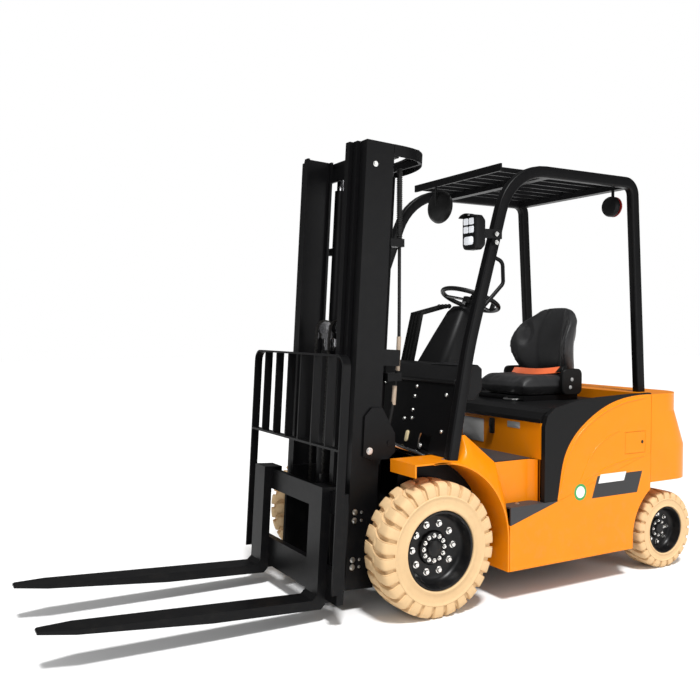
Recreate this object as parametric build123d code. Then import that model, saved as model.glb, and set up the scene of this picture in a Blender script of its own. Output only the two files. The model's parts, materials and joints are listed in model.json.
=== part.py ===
from build123d import *
import os
from math import atan2, cos, degrees, pi, radians, sin

# An electric counterbalance forklift with a three-stage mast, in millimetres.
# While it is being drawn, +Z is up, the forks point along -Y, the left side is +X,
# the floor is z = 0 and the front axle is at y = 0. At the end everything is shifted
# along Y so that the origin is on the floor under the middle of the whole length.

# Driving sizes of the whole truck
wheelbase = 1608.0
front_tyre_radius = 324.0
front_tyre_width = 200.0
front_wheel_face = 630.0
front_rim_radius = 188.0
rear_tyre_radius = 219.0
rear_tyre_width = 168.0
rear_wheel_face = 593.0
rear_rim_radius = 131.0
body_half_width = 621.0
body_bottom = 160.0
mast_tilt = 3.2
fork_length = 1220.0
guard_top = 2228.0

# Clearances
seat_gap = 0.3
running_gap = 5.0
pin_gap = 0.1

# Mast rails, in the mast's own upright position
outer_rail_face = 347.5
outer_rail_width = 55.5
stage_rail_width = 38.0
rail_depth = 155.0
rail_web = 14.0
rail_flange = 13.0
rail_front = -354.0
mast_bottom = 96.0
mast_top = 2262.0
stage_lift = rail_flange + running_gap + 1.0
lift_cylinder_x = 244.0
lift_cylinder_radius = 34.0
lift_rod_radius = 24.0
free_cylinder_radius = 44.0
free_rod_radius = 30.0
mast_mount_radius = 118.0

# Carriage and forks
carriage_half_width = 480.0
fork_bar_depth = 36.0
fork_bar_top = 588.0
fork_bar_bottom = 80.0
upper_bar_height = 102.0
lower_bar_height = 146.0
fork_width = 125.0
fork_thickness = 45.0
fork_spread = 328.0
fork_blade_top = 81.0
fork_shank_front = -527.0
fork_shank_top = 604.0
fork_tip_thickness = 12.0
fork_hook_gap = 1.0

# Load backrest
backrest_half_width = 505.0
backrest_top = 1224.0
backrest_shelf = 792.0
backrest_foot = 131.0
backrest_bar = 42.0
backrest_plate = 10.0
backrest_bars = 6

# Bodywork
arch_radius = 409.0
arch_plate = 8.0
well_wall = 398.0
well_plate = 10.0
step_wall = 520.0
floor_height = 698.0
floor_front = 300.0
fender_top = 742.0
fender_front = -92.0
fender_lip = 70.0
step_height = 481.0
seat_box_front = 650.0
seam_y = 1440.0
panel_thickness = 25.0
body_top = 1006.0
counterweight_rear = 1835.0
counterweight_corner = 190.0
rear_arch_radius = 307.0
rear_arch_top = 512.0
hood_hinge_y = 1418.0
hood_top = 955.0
hood_half_width = 588.0
plate = 10.0

# Overhead guard
guard_frame_x = 458.0
guard_tube_depth = 68.0
guard_tube_width = 46.0

# Places that follow from the sizes
front_axle_z = front_tyre_radius
rear_axle_z = rear_tyre_radius
front_wheel_x = front_wheel_face - front_tyre_width / 2
rear_wheel_x = rear_wheel_face - rear_tyre_width / 2
kingpin_x = 398.0
axle_tube_radius = 85.0
mast_pivot = Vector(0, 0, front_axle_z)
rail_back = rail_front + rail_depth
shank_back = fork_shank_front + fork_thickness
bar_front = shank_back + fork_hook_gap
bar_back = bar_front + fork_bar_depth


# Small helpers

def block(x0, x1, y0, y1, z0, z1):
    return Pos((x0 + x1) / 2, (y0 + y1) / 2, (z0 + z1) / 2) * Box(x1 - x0, y1 - y0, z1 - z0)


def outline(*points):
    """a closed outline of (y, z) points, seen from the side"""
    return make_face(Polyline(*points, close=True))


def drawn_across(face, x0, x1):
    """a side outline drawn out from x0 to x1"""
    return extrude(Plane.YZ.offset(x0) * face, amount=x1 - x0)


def slab(x0, x1, *points):
    return drawn_across(outline(*points), x0, x1)


def rod_x(radius, x0, x1, y, z):
    return Pos((x0 + x1) / 2, y, z) * Rot(0, 90, 0) * Cylinder(radius, x1 - x0)


def rod_y(radius, y0, y1, x, z):
    return Pos(x, (y0 + y1) / 2, z) * Rot(90, 0, 0) * Cylinder(radius, y1 - y0)


def rod_z(radius, z0, z1, x, y):
    return Pos(x, y, (z0 + z1) / 2) * Cylinder(radius, z1 - z0)


def rod_between(radius, start, end):
    start = Vector(*start)
    run = Vector(*end) - start
    return extrude(Plane(origin=start, z_dir=run.normalized()) * Circle(radius), amount=run.length)


def mirrored(shape):
    return mirror(shape, about=Plane.YZ)


def both(shape):
    """the left piece and its mirror image on the right"""
    return [shape, mirrored(shape)]


def solids_of(shape):
    if isinstance(shape, (list, tuple)):
        return [solid for piece in shape for solid in solids_of(piece)]
    return list(shape.solids())


def tilted(shape):
    """from the mast's upright position to its place on the truck, leaning back"""
    if isinstance(shape, (list, tuple)):
        return [tilted(piece) for piece in shape]
    return Pos(mast_pivot) * Rot(-mast_tilt, 0, 0) * Pos(-mast_pivot) * shape


def tilted_point(x, y, z):
    lean = radians(mast_tilt)
    up = z - mast_pivot.Z
    return (x, y * cos(lean) + up * sin(lean), mast_pivot.Z - y * sin(lean) + up * cos(lean))


# Wheels

def tyre(radius, width, rim_radius, bead, shoulder, lugs, lug_depth):
    """a solid tyre about the X axis with notches between its side lugs"""
    half = width / 2
    side = half - bead
    profile = make_face(Polyline(
        (side, rim_radius - 2 * bead), (side, rim_radius), (half - 3, rim_radius + 8), (half, radius - 2 * shoulder),
        (half - 5, radius - shoulder), (half - shoulder, radius),
        (shoulder - half, radius), (5 - half, radius - shoulder), (-half, radius - 2 * shoulder),
        (3 - half, rim_radius + 8), (-side, rim_radius), (-side, rim_radius - 2 * bead), close=True))
    body = revolve(Plane.XY * profile, axis=Axis.X, revolution_arc=360)
    pitch = 2 * pi * radius / lugs
    notch = Pos(half, 0, radius) * Box(2 * shoulder, 0.22 * pitch, 2 * lug_depth)
    notches = []
    for number in range(lugs):
        turn = Rot(360 * number / lugs, 0, 0)
        half_turn = Rot(360 * (number + 0.5) / lugs, 0, 0)
        notches.append(turn * notch)
        notches.append(half_turn * mirrored(notch))
    return body - notches


def rim(width, rim_radius, bead, disc_x, disc, hub_radius, hub_in, hub_out, bore_radius):
    """a dished wheel about the X axis: barrel and flanges, disc, and a hub with a blind bore"""
    half = width / 2
    side = half - bead
    seat = rim_radius - 2 * bead - seat_gap
    wall = seat - 7
    edge = side + seat_gap
    profile = make_face(Polyline(
        (disc_x, 0), (disc_x, wall), (-edge - 6, wall), (-edge - 6, rim_radius - 2), (-edge, rim_radius - 2),
        (-edge, seat), (edge, seat), (edge, rim_radius - 2), (edge + 6, rim_radius - 2), (edge + 6, wall),
        (disc_x + disc, wall), (disc_x + disc, 0), close=True))
    barrel = revolve(Plane.XY * profile, axis=Axis.X, revolution_arc=360)
    hub = rod_x(hub_radius, disc_x - hub_in, disc_x + disc + hub_out, 0, 0)
    bore = rod_x(bore_radius, disc_x - hub_in, disc_x + disc, 0, 0)
    return barrel + hub - bore


front_disc_x = 22.0
front_disc = 12.0
front_hub_in = 60.0
front_spindle_radius = 34.0
rear_disc_x = 18.0
rear_disc = 10.0
rear_hub_in = 42.0
rear_spindle_radius = 22.0

front_tyre = tyre(front_tyre_radius, front_tyre_width, front_rim_radius, 14.0, 26.0, 28, 14.0)
front_rim = rim(front_tyre_width, front_rim_radius, 14.0, front_disc_x, front_disc, 62.0, front_hub_in, 34.0,
                front_spindle_radius + pin_gap)
rear_tyre = tyre(rear_tyre_radius, rear_tyre_width, rear_rim_radius, 10.0, 18.0, 26, 10.0)
rear_rim = rim(rear_tyre_width, rear_rim_radius, 10.0, rear_disc_x, rear_disc, 44.0, rear_hub_in, 30.0,
               rear_spindle_radius + pin_gap)

front_place = Pos(front_wheel_x, 0, front_axle_z)
rear_place = Pos(rear_wheel_x, wheelbase, rear_axle_z)

# Drive axle: tube with spindles, and the drive motor block behind it
drive_axle = rod_x(axle_tube_radius, 0, well_wall + 24, 0, front_axle_z)
drive_axle += rod_x(front_spindle_radius, well_wall, front_wheel_x + front_disc_x - 1, 0, front_axle_z)
drive_axle += mirrored(drive_axle)
drive_axle += block(-215, 215, 20, 300, front_axle_z - 100, front_axle_z + 120)

# Steer axle: a beam with forked ends that carry the kingpins, hung on a fore and aft trunnion
yoke_reach = 62.0
yoke_plate = 16.0
yoke_radius = 38.0
kingpin_radius = 16.0
beam_half_depth = 42.0
beam_half_height = 50.0
trunnion_radius = 30.0
trunnion_half = 85.0
hanger_half = 14.0
steer_axle = block(0, kingpin_x - yoke_radius - 22, wheelbase - beam_half_depth, wheelbase + beam_half_depth,
                   rear_axle_z - beam_half_height, rear_axle_z + beam_half_height)
for level in (1, -1):
    z_low = rear_axle_z + level * (yoke_reach + yoke_plate / 2) - yoke_plate / 2
    arm = block(kingpin_x - 110, kingpin_x, wheelbase - yoke_radius, wheelbase + yoke_radius, z_low, z_low + yoke_plate)
    arm += rod_z(yoke_radius, z_low, z_low + yoke_plate, kingpin_x, wheelbase)
    steer_axle += arm
steer_axle += block(kingpin_x - 110, kingpin_x - yoke_radius - 22, wheelbase - yoke_radius, wheelbase + yoke_radius,
                    rear_axle_z - yoke_reach - 1, rear_axle_z + yoke_reach + 1)
steer_axle -= rod_z(kingpin_radius + pin_gap, rear_axle_z - 100, rear_axle_z + 100, kingpin_x, wheelbase)
steer_axle += mirrored(steer_axle)
steer_axle += rod_y(trunnion_radius, wheelbase - trunnion_half, wheelbase + trunnion_half, 0, rear_axle_z)

knuckle = rod_z(yoke_radius - 8, rear_axle_z - yoke_reach + 1, rear_axle_z + yoke_reach - 1, kingpin_x, wheelbase)
knuckle += rod_z(kingpin_radius, rear_axle_z - yoke_reach - yoke_plate - 4, rear_axle_z + yoke_reach + yoke_plate + 4,
                 kingpin_x, wheelbase)
knuckle += rod_x(rear_spindle_radius, kingpin_x, rear_wheel_x + rear_disc_x - 1, wheelbase, rear_axle_z)

# Chassis: plates beside the drive axle, bulkhead, battery tray, rear frame and axle hangers
bulkhead_y = arch_radius + arch_plate + 9
tray_rear = 1288.0
front_plate = slab(well_wall, well_wall + well_plate, (-104, 240), (-104, 640), (fender_front, fender_top - arch_plate),
                   (150, fender_top - arch_plate), (240, floor_height - 8), (bulkhead_y, floor_height - 8),
                   (bulkhead_y, body_bottom), (120, body_bottom), (40, 240))
front_plate -= rod_x(axle_tube_radius + pin_gap, well_wall - 1, well_wall + 40, 0, front_axle_z)
tray_side = block(step_wall, step_wall + plate, bulkhead_y, tray_rear, body_bottom, 488)
tray_side += block(step_wall, step_wall + plate, bulkhead_y, seat_box_front, 480, floor_height - 8)
tray_side += block(step_wall, step_wall + plate, seat_box_front + plate, seam_y - plate, 480, 690)
frame_half = front_plate + tray_side
frame_half += block(0, step_wall + plate, bulkhead_y, bulkhead_y + plate, body_bottom, floor_height - 8)
frame_half += block(0, step_wall + plate, bulkhead_y, tray_rear, body_bottom, body_bottom + plate)
frame_half += block(0, step_wall + plate, tray_rear - plate, tray_rear, body_bottom, rear_arch_top + plate)
frame_half += block(0, step_wall + plate, tray_rear - plate, seam_y - 1, rear_arch_top, rear_arch_top + plate)
frame_half += block(0, step_wall + plate, seam_y - plate - 1, seam_y - 1, rear_arch_top, 900)
chassis_frame = frame_half + mirrored(frame_half)

# The battery, one plain block on the tray
battery_block = block(-500, 500, seat_box_front + 20, tray_rear - plate - 8, body_bottom + plate + seat_gap, 880)

# Fenders: a plate bent over the tyre with a flat front, a front lip and the side wing by the floor
shelf_back = 228.0


def arch_shape(radius):
    """the side view of everything above the wheel inside a radius that is concentric with it"""
    dome = Pos(0, front_axle_z) * Circle(radius)
    dome &= Pos(0, front_axle_z + radius) * Rectangle(2 * radius, 2 * radius)
    leg = Pos(radius / 2, front_axle_z / 2) * Rectangle(radius, front_axle_z + 1)
    return dome + leg


band = arch_shape(arch_radius + arch_plate) - arch_shape(arch_radius)
band &= Pos(250, body_bottom + 400) * Rectangle(500, 800)
fender_flat = outline((fender_front, fender_top - arch_plate), (fender_front, fender_top), (4, fender_top),
                      (4, fender_top - arch_plate))
lip = outline((fender_front, fender_top - fender_lip), (fender_front, fender_top),
              (fender_front + arch_plate, fender_top), (fender_front + arch_plate, fender_top - fender_lip))
fender_inner = well_wall + well_plate + seat_gap
fender = drawn_across(band, fender_inner, body_half_width)
fender += drawn_across(fender_flat, fender_inner, body_half_width)
fender += drawn_across(lip, fender_inner, body_half_width)
fender += block(fender_inner, step_wall, 0, shelf_back, fender_top - arch_plate, fender_top)
wing = slab(step_wall - plate, step_wall, (64, fender_top), (76, 872), (118, 872), (312, floor_height),
            (bulkhead_y - 1, floor_height), (bulkhead_y - 1, body_bottom), (arch_radius, body_bottom), (0, fender_top))
wing -= drawn_across(arch_shape(arch_radius + arch_plate - 1), step_wall - 40, step_wall + 10)
wing -= block(step_wall - 40, step_wall + 10, -10, 3, 0, fender_top + 1)
fender += wing
fenders = both(fender)

# Lower sides between the wheels, with the bottom edge bevelled
seam_slope = (680 - 390) / (1437 - 429)


def seam_z(y):
    return 390 + (y - 429) * seam_slope


lower_side = slab(step_wall + plate + seat_gap, body_half_width, (arch_radius + 12, body_bottom), (arch_radius + 12, seam_z(arch_radius + 12)),
                  (seam_y - 2, seam_z(seam_y - 2)), (seam_y - 2, body_bottom))
well_cut = rod_x(rear_arch_radius, 300, 700, wheelbase, rear_axle_z)
well_cut += block(300, 700, wheelbase - 120, wheelbase + 400, 0, rear_arch_top)
well_cut += block(300, 700, wheelbase - rear_arch_radius, wheelbase + 400, 0, rear_axle_z)
lower_side -= well_cut
lower_sides = both(lower_side)

# Step plates in the recess behind the front wheels
step = slab(step_wall + plate + seat_gap, body_half_width, (bulkhead_y, step_height - 8), (bulkhead_y, step_height),
            (740, step_height), (740, step_height - 8))
step += slab(body_half_width - 8, body_half_width, (bulkhead_y, seam_z(bulkhead_y) + seat_gap), (bulkhead_y, step_height),
             (740, step_height), (740, seam_z(740) + seat_gap))
step -= slab(step_wall, 700, (bulkhead_y - 10, 100), (bulkhead_y - 10, seam_z(bulkhead_y - 10) + seat_gap),
             (760, seam_z(760) + seat_gap), (760, 100))

# Floor
floor_plate = slab(-step_wall + plate + 1, step_wall - plate - 1, (floor_front, floor_height - 8), (floor_front, floor_height),
                   (seat_box_front - seat_gap, floor_height), (seat_box_front - seat_gap, floor_height - 8))
toe_board = slab(-300, 300, (floor_front, floor_height - 8), (floor_front, floor_height), (150, 860), (144, 856))
floor_and_steps = [floor_plate + toe_board] + both(step)

# Front panel of the battery box
seat_box_panel = slab(-hood_half_width, hood_half_width,
                      (seat_box_front, floor_height + seat_gap), (seat_box_front, 885),
                      (seat_box_front + plate, 885), (seat_box_front + plate, floor_height + seat_gap))

# Black side trims and orange side panels, meeting on one long curve
panel_curve = [(740, 492), (757, 589), (790, 716), (860, 816), (967, 898), (1115, 968), (1269, 1000), (1437, 1006)]
trim_top = [(650, 505), (650, 872), (668, 925), (715, 962), (857, 992), (1039, 1004), (1269, 1012)]


panel_face = make_face([Spline(*panel_curve), Line((1437, 1006), (1437, seam_z(1437) + 1)),
                        Line((1437, seam_z(1437) + 1), (740, seam_z(740) + 1)), Line((740, seam_z(740) + 1), (740, 492))])
trim_face = make_face(Polyline(*trim_top, (1437, 1014), (1437, 600), (740, step_height + 1), (650, step_height + 1), close=True))
side_panel = drawn_across(panel_face, body_half_width - panel_thickness, body_half_width)
side_trim = drawn_across(trim_face, hood_half_width + running_gap + 1, body_half_width - 1)
side_trim -= drawn_across(panel_face, body_half_width - panel_thickness - seat_gap, body_half_width + 1)
side_trim -= slab(500, 700, (740, 0), (740, seam_z(740)), (1437, seam_z(1437)), (1437, 0))

# Charge flap in the left side panel
flap_y = (1232.0, 1392.0)
flap_z = (686.0, 806.0)
flap_gap = 2.0
flap_opening = block(body_half_width - 8 - seat_gap, body_half_width + 1, flap_y[0], flap_y[1], flap_z[0], flap_z[1])
left_panel = side_panel - flap_opening
charge_flap = block(body_half_width - 8, body_half_width, flap_y[0] + flap_gap, flap_y[1] - flap_gap,
                    flap_z[0] + flap_gap, flap_z[1] - flap_gap)
side_panels = [left_panel, mirrored(side_panel)]


# Counterweight

def plan(rear):
    """the counterweight seen from above, its rear corners rounded"""
    face = Pos(0, (seam_y + rear) / 2) * Rectangle(2 * body_half_width, rear - seam_y)
    corners = face.vertices().sort_by(Axis.Y)[-2:]
    return fillet(corners, counterweight_corner)


upper_rear = counterweight_rear - 85
counterweight = extrude(Plane.XY.offset(rear_arch_top + 1) * plan(counterweight_rear), amount=190)
counterweight += loft([Plane.XY.offset(rear_arch_top + 191) * plan(counterweight_rear), Plane.XY.offset(905) * plan(upper_rear)])
counterweight += extrude(Plane.XY.offset(905) * plan(upper_rear), amount=body_top - 905)
counterweight += block(-180, 180, 1700, counterweight_rear, 205, rear_arch_top + 2)
for hanger_y in (wheelbase - 64, wheelbase + 64):
    hanger = block(-80, 80, hanger_y - hanger_half, hanger_y + hanger_half, rear_axle_z - 60, rear_arch_top + 2)
    counterweight += hanger
counterweight -= rod_y(trunnion_radius + pin_gap, wheelbase - 90, wheelbase + 90, 0, rear_axle_z)
tow_pin_radius = 15.0
tow_slot = block(-45, 45, counterweight_rear - 90, counterweight_rear + 1, 300, 360)
counterweight -= tow_slot
counterweight -= rod_z(tow_pin_radius + pin_gap, 240, 430, 0, counterweight_rear - 45)
tow_pin = rod_z(tow_pin_radius, 240, 425, 0, counterweight_rear - 45)
counterweight -= block(-30, 30, counterweight_rear - 75, counterweight_rear + 1, 400, 470)

# Cowl: front wall with side wings, and the instrument box behind it
cowl_front = 130.0
cowl_top = 1150.0
cowl_wing_x = 395.0
cowl_wall = 6.0
tilt_slot_inner = 275.0
tilt_slot_outer = 375.0
tilt_slot_top = 815.0
cowl_half = slab(cowl_wing_x, cowl_wing_x + cowl_wall, (-96, fender_top + seat_gap), (-110, 1140), (cowl_front + cowl_wall, 1125),
                 (cowl_front + cowl_wall, fender_top + seat_gap))
cowl_half += block(0, 430, cowl_front, cowl_front + cowl_wall, 752, cowl_top)
cowl_half += block(cowl_wing_x, 430, cowl_front, cowl_front + cowl_wall, fender_top + seat_gap, cowl_top)
cowl_half += slab(0, 430, (cowl_front, 1000), (cowl_front, cowl_top), (385, cowl_top), (385, 1010), (300, 985))
cowl_half -= block(tilt_slot_inner, tilt_slot_outer, cowl_front - 1, cowl_front + cowl_wall + 1, 700, tilt_slot_top)
cowl = cowl_half + mirrored(cowl_half)

# Steering column: a leaning cover, wide at its foot
foot = Plane.XY.offset(cowl_top) * Pos(0, 400) * RectangleRounded(230, 300, 40)
head = Plane(origin=(0, 637, 1493), x_dir=(1, 0, 0), z_dir=(0, sin(radians(22)), cos(radians(22)))) * RectangleRounded(120, 150, 30)
steering_column = loft([foot, head])
wheel_lean = 22.0
wheel_centre = Vector(0, 654, 1535)
wheel_plane = Plane(origin=wheel_centre, x_dir=(1, 0, 0), z_dir=(0, sin(radians(wheel_lean)), cos(radians(wheel_lean))))
steering_wheel_radius = 178.0
ring_radius = 13.0
ring = Torus(steering_wheel_radius - ring_radius, ring_radius)
spoke = Pos((steering_wheel_radius - ring_radius) / 2, 0, -4) * Box(steering_wheel_radius - ring_radius, 26, 8)
steering_wheel = ring + Pos(0, 0, -12) * Cylinder(42, 34)
for angle in (90, 210, 330):
    steering_wheel += Rot(0, 0, angle) * spoke
steering_wheel += Pos(0, steering_wheel_radius - ring_radius, 26) * Cylinder(14, 44)
steering_wheel = wheel_plane * steering_wheel
column_shaft = wheel_plane * Pos(0, 0, -29 - seat_gap - 15) * Cylinder(14, 30)
steering_column = steering_column + column_shaft

# Levers and pedals
levers = []
for number in range(4):
    x = -130 - 32 * number
    shank = slab(x - 5, x + 5, (322, cowl_top), (346, cowl_top), (414, 1448), (596, 1492), (592, 1508), (400, 1462))
    shank += Pos(x, 600, 1500) * Sphere(14)
    levers.append(shank)
pedals = []
for x, wide in ((-150, 70), (120, 50)):
    pedal = slab(x - wide / 2, x + wide / 2, (262, 760), (340, 850), (348, 844), (270, 754))
    pedal += slab(x - 8, x + 8, (262, 760), (300, 800), (330, floor_height), (300, floor_height))
    pedals.append(pedal)

# Overhead guard: two bent side tubes, headers and roof bars
guard_centre_z = guard_top - guard_tube_depth / 2
side_path = FilletPolyline((178, fender_top - 40), (280, 1287), (548, guard_centre_z), (1452, guard_centre_z),
                           (1527, body_top - 40), radius=[2500, 330, 70])
path = Plane.YZ.offset(guard_frame_x) * side_path
start = path @ 0
section = Plane(origin=start, x_dir=(1, 0, 0), z_dir=(path % 0)) * RectangleRounded(guard_tube_width, guard_tube_depth, 10)
guard_frame = sweep(section, path=path)
guard_frame -= block(400, 520, 0, 800, fender_top - 100, fender_top + seat_gap)
guard_frame -= block(400, 520, 1300, 1700, body_top - 100, body_top + seat_gap)
guard_inner = guard_frame_x - guard_tube_width / 2
guard_roof = block(-guard_inner + seat_gap, guard_inner - seat_gap, 1400, 1450, guard_centre_z - 25, guard_centre_z + 25)
guard_roof += block(-guard_inner + seat_gap, guard_inner - seat_gap, 800, 850, guard_centre_z - 20, guard_centre_z + 25)
guard_roof += block(-guard_inner + 40, guard_inner - 40, 535, 547, guard_centre_z, guard_centre_z + 40)
for number in range(8):
    x = -350 + 100 * number
    guard_roof += block(x - 5, x + 5, 535, 1450, guard_centre_z + 5, guard_centre_z + 30)

# Lamps
lamp = block(494, 562, 236, 300, 1762, 1925)
lamp += slab(guard_frame_x + guard_tube_width / 2 + seat_gap, guard_frame_x + guard_tube_width / 2 + 14, (250, 1800), (250, 1880), (470, 1850), (470, 1800))
rear_lamp = rod_y(46, 1362, 1398, 380, 2120)
lamps = both(lamp) + [rear_lamp + block(370, 390, 1396, 1399.7, 2120, 2180)]

# Mast


def rail(face_x, width, depth_shift, outward):
    """one rail of a stage: web, front flange inwards, rear flange inwards and outwards"""
    front = rail_front - depth_shift
    back = front + rail_depth
    shape = block(face_x - rail_web, face_x, front, back, mast_bottom, mast_top)
    shape += block(face_x - width, face_x, front, front + rail_flange, mast_bottom, mast_top)
    shape += block(face_x - width, face_x + outward, back - rail_flange, back, mast_bottom, mast_top)
    return shape


stage_outer = outer_rail_face
stage_middle = outer_rail_face - outer_rail_width - running_gap
stage_inner = stage_middle - stage_rail_width - running_gap
outer_rail = rail(stage_outer, outer_rail_width, 0, 0)
middle_rail = rail(stage_middle, stage_rail_width, stage_lift, stage_outer - rail_web - running_gap - stage_middle)
inner_rail = rail(stage_inner, stage_rail_width, 2 * stage_lift, stage_middle - rail_web - running_gap - stage_inner)

mount_plate = slab(stage_outer - outer_rail_width, stage_outer, (rail_back, 210), (rail_back, 470), (-70, 440),
                   (40, 420), (110, 380), (110, 260), (40, 215))
mount_plate -= rod_x(axle_tube_radius + pin_gap, 200, 500, 0, front_axle_z)
tilt_pin_y = -150.0
tilt_pin_z = 802.0
tilt_x = 325.0
tilt_eye_half = 17.0
tilt_pin_radius = 14.0
bracket_plate = 12.0
bracket_outline = [(-297, 740), (-297, 930), (-260, 975), (-200, 975), (-120, 850), (-113, 760), (-150, 725), (-240, 720)]
bracket_outer = slab(stage_outer, stage_outer + bracket_plate, *bracket_outline)
bracket_inner = slab(stage_outer - outer_rail_width, stage_outer - outer_rail_width + bracket_plate - 1,
                     (rail_back, 740), (rail_back, 860), (-125, 830), (-118, 775), (-150, 740))
tilt_pin = rod_x(tilt_pin_radius, stage_outer - outer_rail_width, stage_outer + bracket_plate + 4, tilt_pin_y, tilt_pin_z)
outer_half = outer_rail + mount_plate + bracket_outer + bracket_inner + tilt_pin
outer_half += block(0, stage_outer, rail_back, rail_back + 14, 150, 330)
outer_half += block(0, stage_outer, rail_back + 82, rail_back + 94, 1180, 1260)
outer_half += block(stage_outer - 14, stage_outer, rail_back - 1, rail_back + 94, 1180, 1260)
bow_height = 48.0
bow = Plane.XY.offset(mast_top - bow_height) * make_face(Polyline(
    (0, 30), (250, 30), (330, -40), (stage_outer, rail_back), (stage_outer - 14, rail_back), (318, -48), (244, 18), (0, 18), close=True))
outer_half += extrude(bow, amount=bow_height)
middle_flange_x = stage_outer - rail_web - running_gap
pad_top = mast_top - 60
pad_height = 120.0
outer_half += block(middle_flange_x + seat_gap, middle_flange_x + running_gap + 1, rail_back - stage_lift - rail_flange,
                    rail_back - stage_lift, pad_top - pad_height, pad_top)
outer_mast = outer_half + mirrored(outer_half)

lift_y = rail_back + 40
lift_cylinder = rod_z(lift_cylinder_radius, 330.3, 2120, lift_cylinder_x, lift_y)
lift_cylinder -= rod_z(lift_rod_radius + pin_gap, 400, 2121, lift_cylinder_x, lift_y)
lift_rod = rod_z(lift_rod_radius, 401, mast_top - 46 - seat_gap, lift_cylinder_x, lift_y)

middle_back = rail_back - stage_lift
middle_half = middle_rail + block(0, stage_middle, middle_back, middle_back + 12, mast_top - 46, mast_top)
middle_half += block(lift_cylinder_x - 40, lift_cylinder_x + 40, middle_back, lift_y + 30, mast_top - 46, mast_top - 30)
middle_half += block(0, stage_middle, middle_back, middle_back + 12, 380, 440)
inner_flange_x = stage_middle - rail_web - running_gap
middle_half += block(inner_flange_x + seat_gap, inner_flange_x + running_gap + 1, middle_back - stage_lift - rail_flange,
                     middle_back - stage_lift, pad_top - pad_height, pad_top)
middle_mast = middle_half + mirrored(middle_half)

inner_back = rail_back - 2 * stage_lift
inner_half = inner_rail + block(0, stage_inner, inner_back, inner_back + 12, mast_top - 110, mast_top - 40)
inner_half += block(0, stage_inner, inner_back, inner_back + 12, 180, 300)
inner_mast = inner_half + mirrored(inner_half)

free_y = inner_back - 75
free_cylinder = rod_z(free_cylinder_radius, 200, 1240, 0, free_y)
free_cylinder += block(-30, 30, free_y, inner_back - seat_gap, 200, 290)
free_cylinder -= rod_z(free_rod_radius + pin_gap, 260, 1241, 0, free_y)
free_rod = rod_z(free_rod_radius, 262, 1300, 0, free_y)
free_rod += block(-95, 95, free_y - 34, free_y + 34, 1300, 1330)
for x in (-70, 70):
    free_rod += rod_x(40, x - 14, x + 14, free_y, 1350) + block(x - 20, x + 20, free_y - 12, free_y + 12, 1325, 1350)

# Two leaf chains over the pulleys, from the carriage to an anchor on the free lift cylinder
chain_width = 22.0
chain_depth = 10.0
pulley_x = 70.0
pulley_radius = 40.0
pulley_z = 1350.0
chain_anchor_z = 1195.0
carriage_anchor_z = 540.0
chain_inner = pulley_radius + seat_gap
chain_outer = chain_inner + chain_depth


def chain(x):
    """one chain as a strap: front run, half a turn over the pulley, rear run"""
    bend = Circle(chain_outer) - Circle(chain_inner)
    bend &= Pos(0, chain_outer) * Rectangle(4 * chain_outer, 2 * chain_outer)
    loop = drawn_across(Pos(free_y, pulley_z) * bend, x - chain_width / 2, x + chain_width / 2)
    loop += block(x - chain_width / 2, x + chain_width / 2, free_y - chain_outer, free_y - chain_inner,
                  carriage_anchor_z + seat_gap, pulley_z)
    loop += block(x - chain_width / 2, x + chain_width / 2, free_y + chain_inner, free_y + chain_outer,
                  chain_anchor_z + 20 + seat_gap, pulley_z)
    return loop


lift_chains = [chain(-pulley_x), chain(pulley_x)]
free_cylinder += block(-pulley_x - 14, pulley_x + 14, free_y + free_rod_radius + 4, free_y + chain_outer,
                       chain_anchor_z, chain_anchor_z + 20)

# Carriage: two fork bars on two roller brackets
bar_upper = block(-carriage_half_width, carriage_half_width, bar_front, bar_back, fork_bar_top - upper_bar_height, fork_bar_top)
bar_lower = block(-carriage_half_width, carriage_half_width, bar_front, bar_back, fork_bar_bottom, fork_bar_bottom + lower_bar_height)
carriage = bar_upper + bar_lower
roller_x = stage_inner - rail_web
roller_radius = (rail_depth - 2 * rail_flange) / 2 - seat_gap
for side in (1, -1):
    carriage += slab(min(side * 150, side * 172), max(side * 150, side * 172), (bar_back - 1, 114), (bar_back - 1, 544),
                     (bar_back + 26, 544), (bar_back + 26, fork_bar_top + 40), (free_y + 60, fork_bar_top + 40),
                     (free_y + 60, 100), (bar_back + 26, 100), (bar_back + 26, 114))
    for z in (190, 560):
        carriage += rod_x(roller_radius, min(side * 171, side * (roller_x - 6)), max(side * 171, side * (roller_x - 6)), rail_front - 2 * stage_lift + rail_depth / 2, z)
    carriage += block(min(side * (carriage_half_width - 1), side * (backrest_half_width - backrest_plate - seat_gap)),
                      max(side * (carriage_half_width - 1), side * (backrest_half_width - backrest_plate - seat_gap)),
                      bar_front, bar_back, fork_bar_bottom, fork_bar_top)
    carriage += block(min(side * 400, side * carriage_half_width), max(side * 400, side * carriage_half_width), bar_back - 12, bar_back, fork_bar_bottom + lower_bar_height - 1, fork_bar_top - upper_bar_height + 1)

for side in (1, -1):
    carriage += block(min(side * 50, side * 151), max(side * 50, side * 151), free_y - chain_outer - 16,
                      free_y - chain_inner + 4, carriage_anchor_z - 20, carriage_anchor_z)

# Forks

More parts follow.
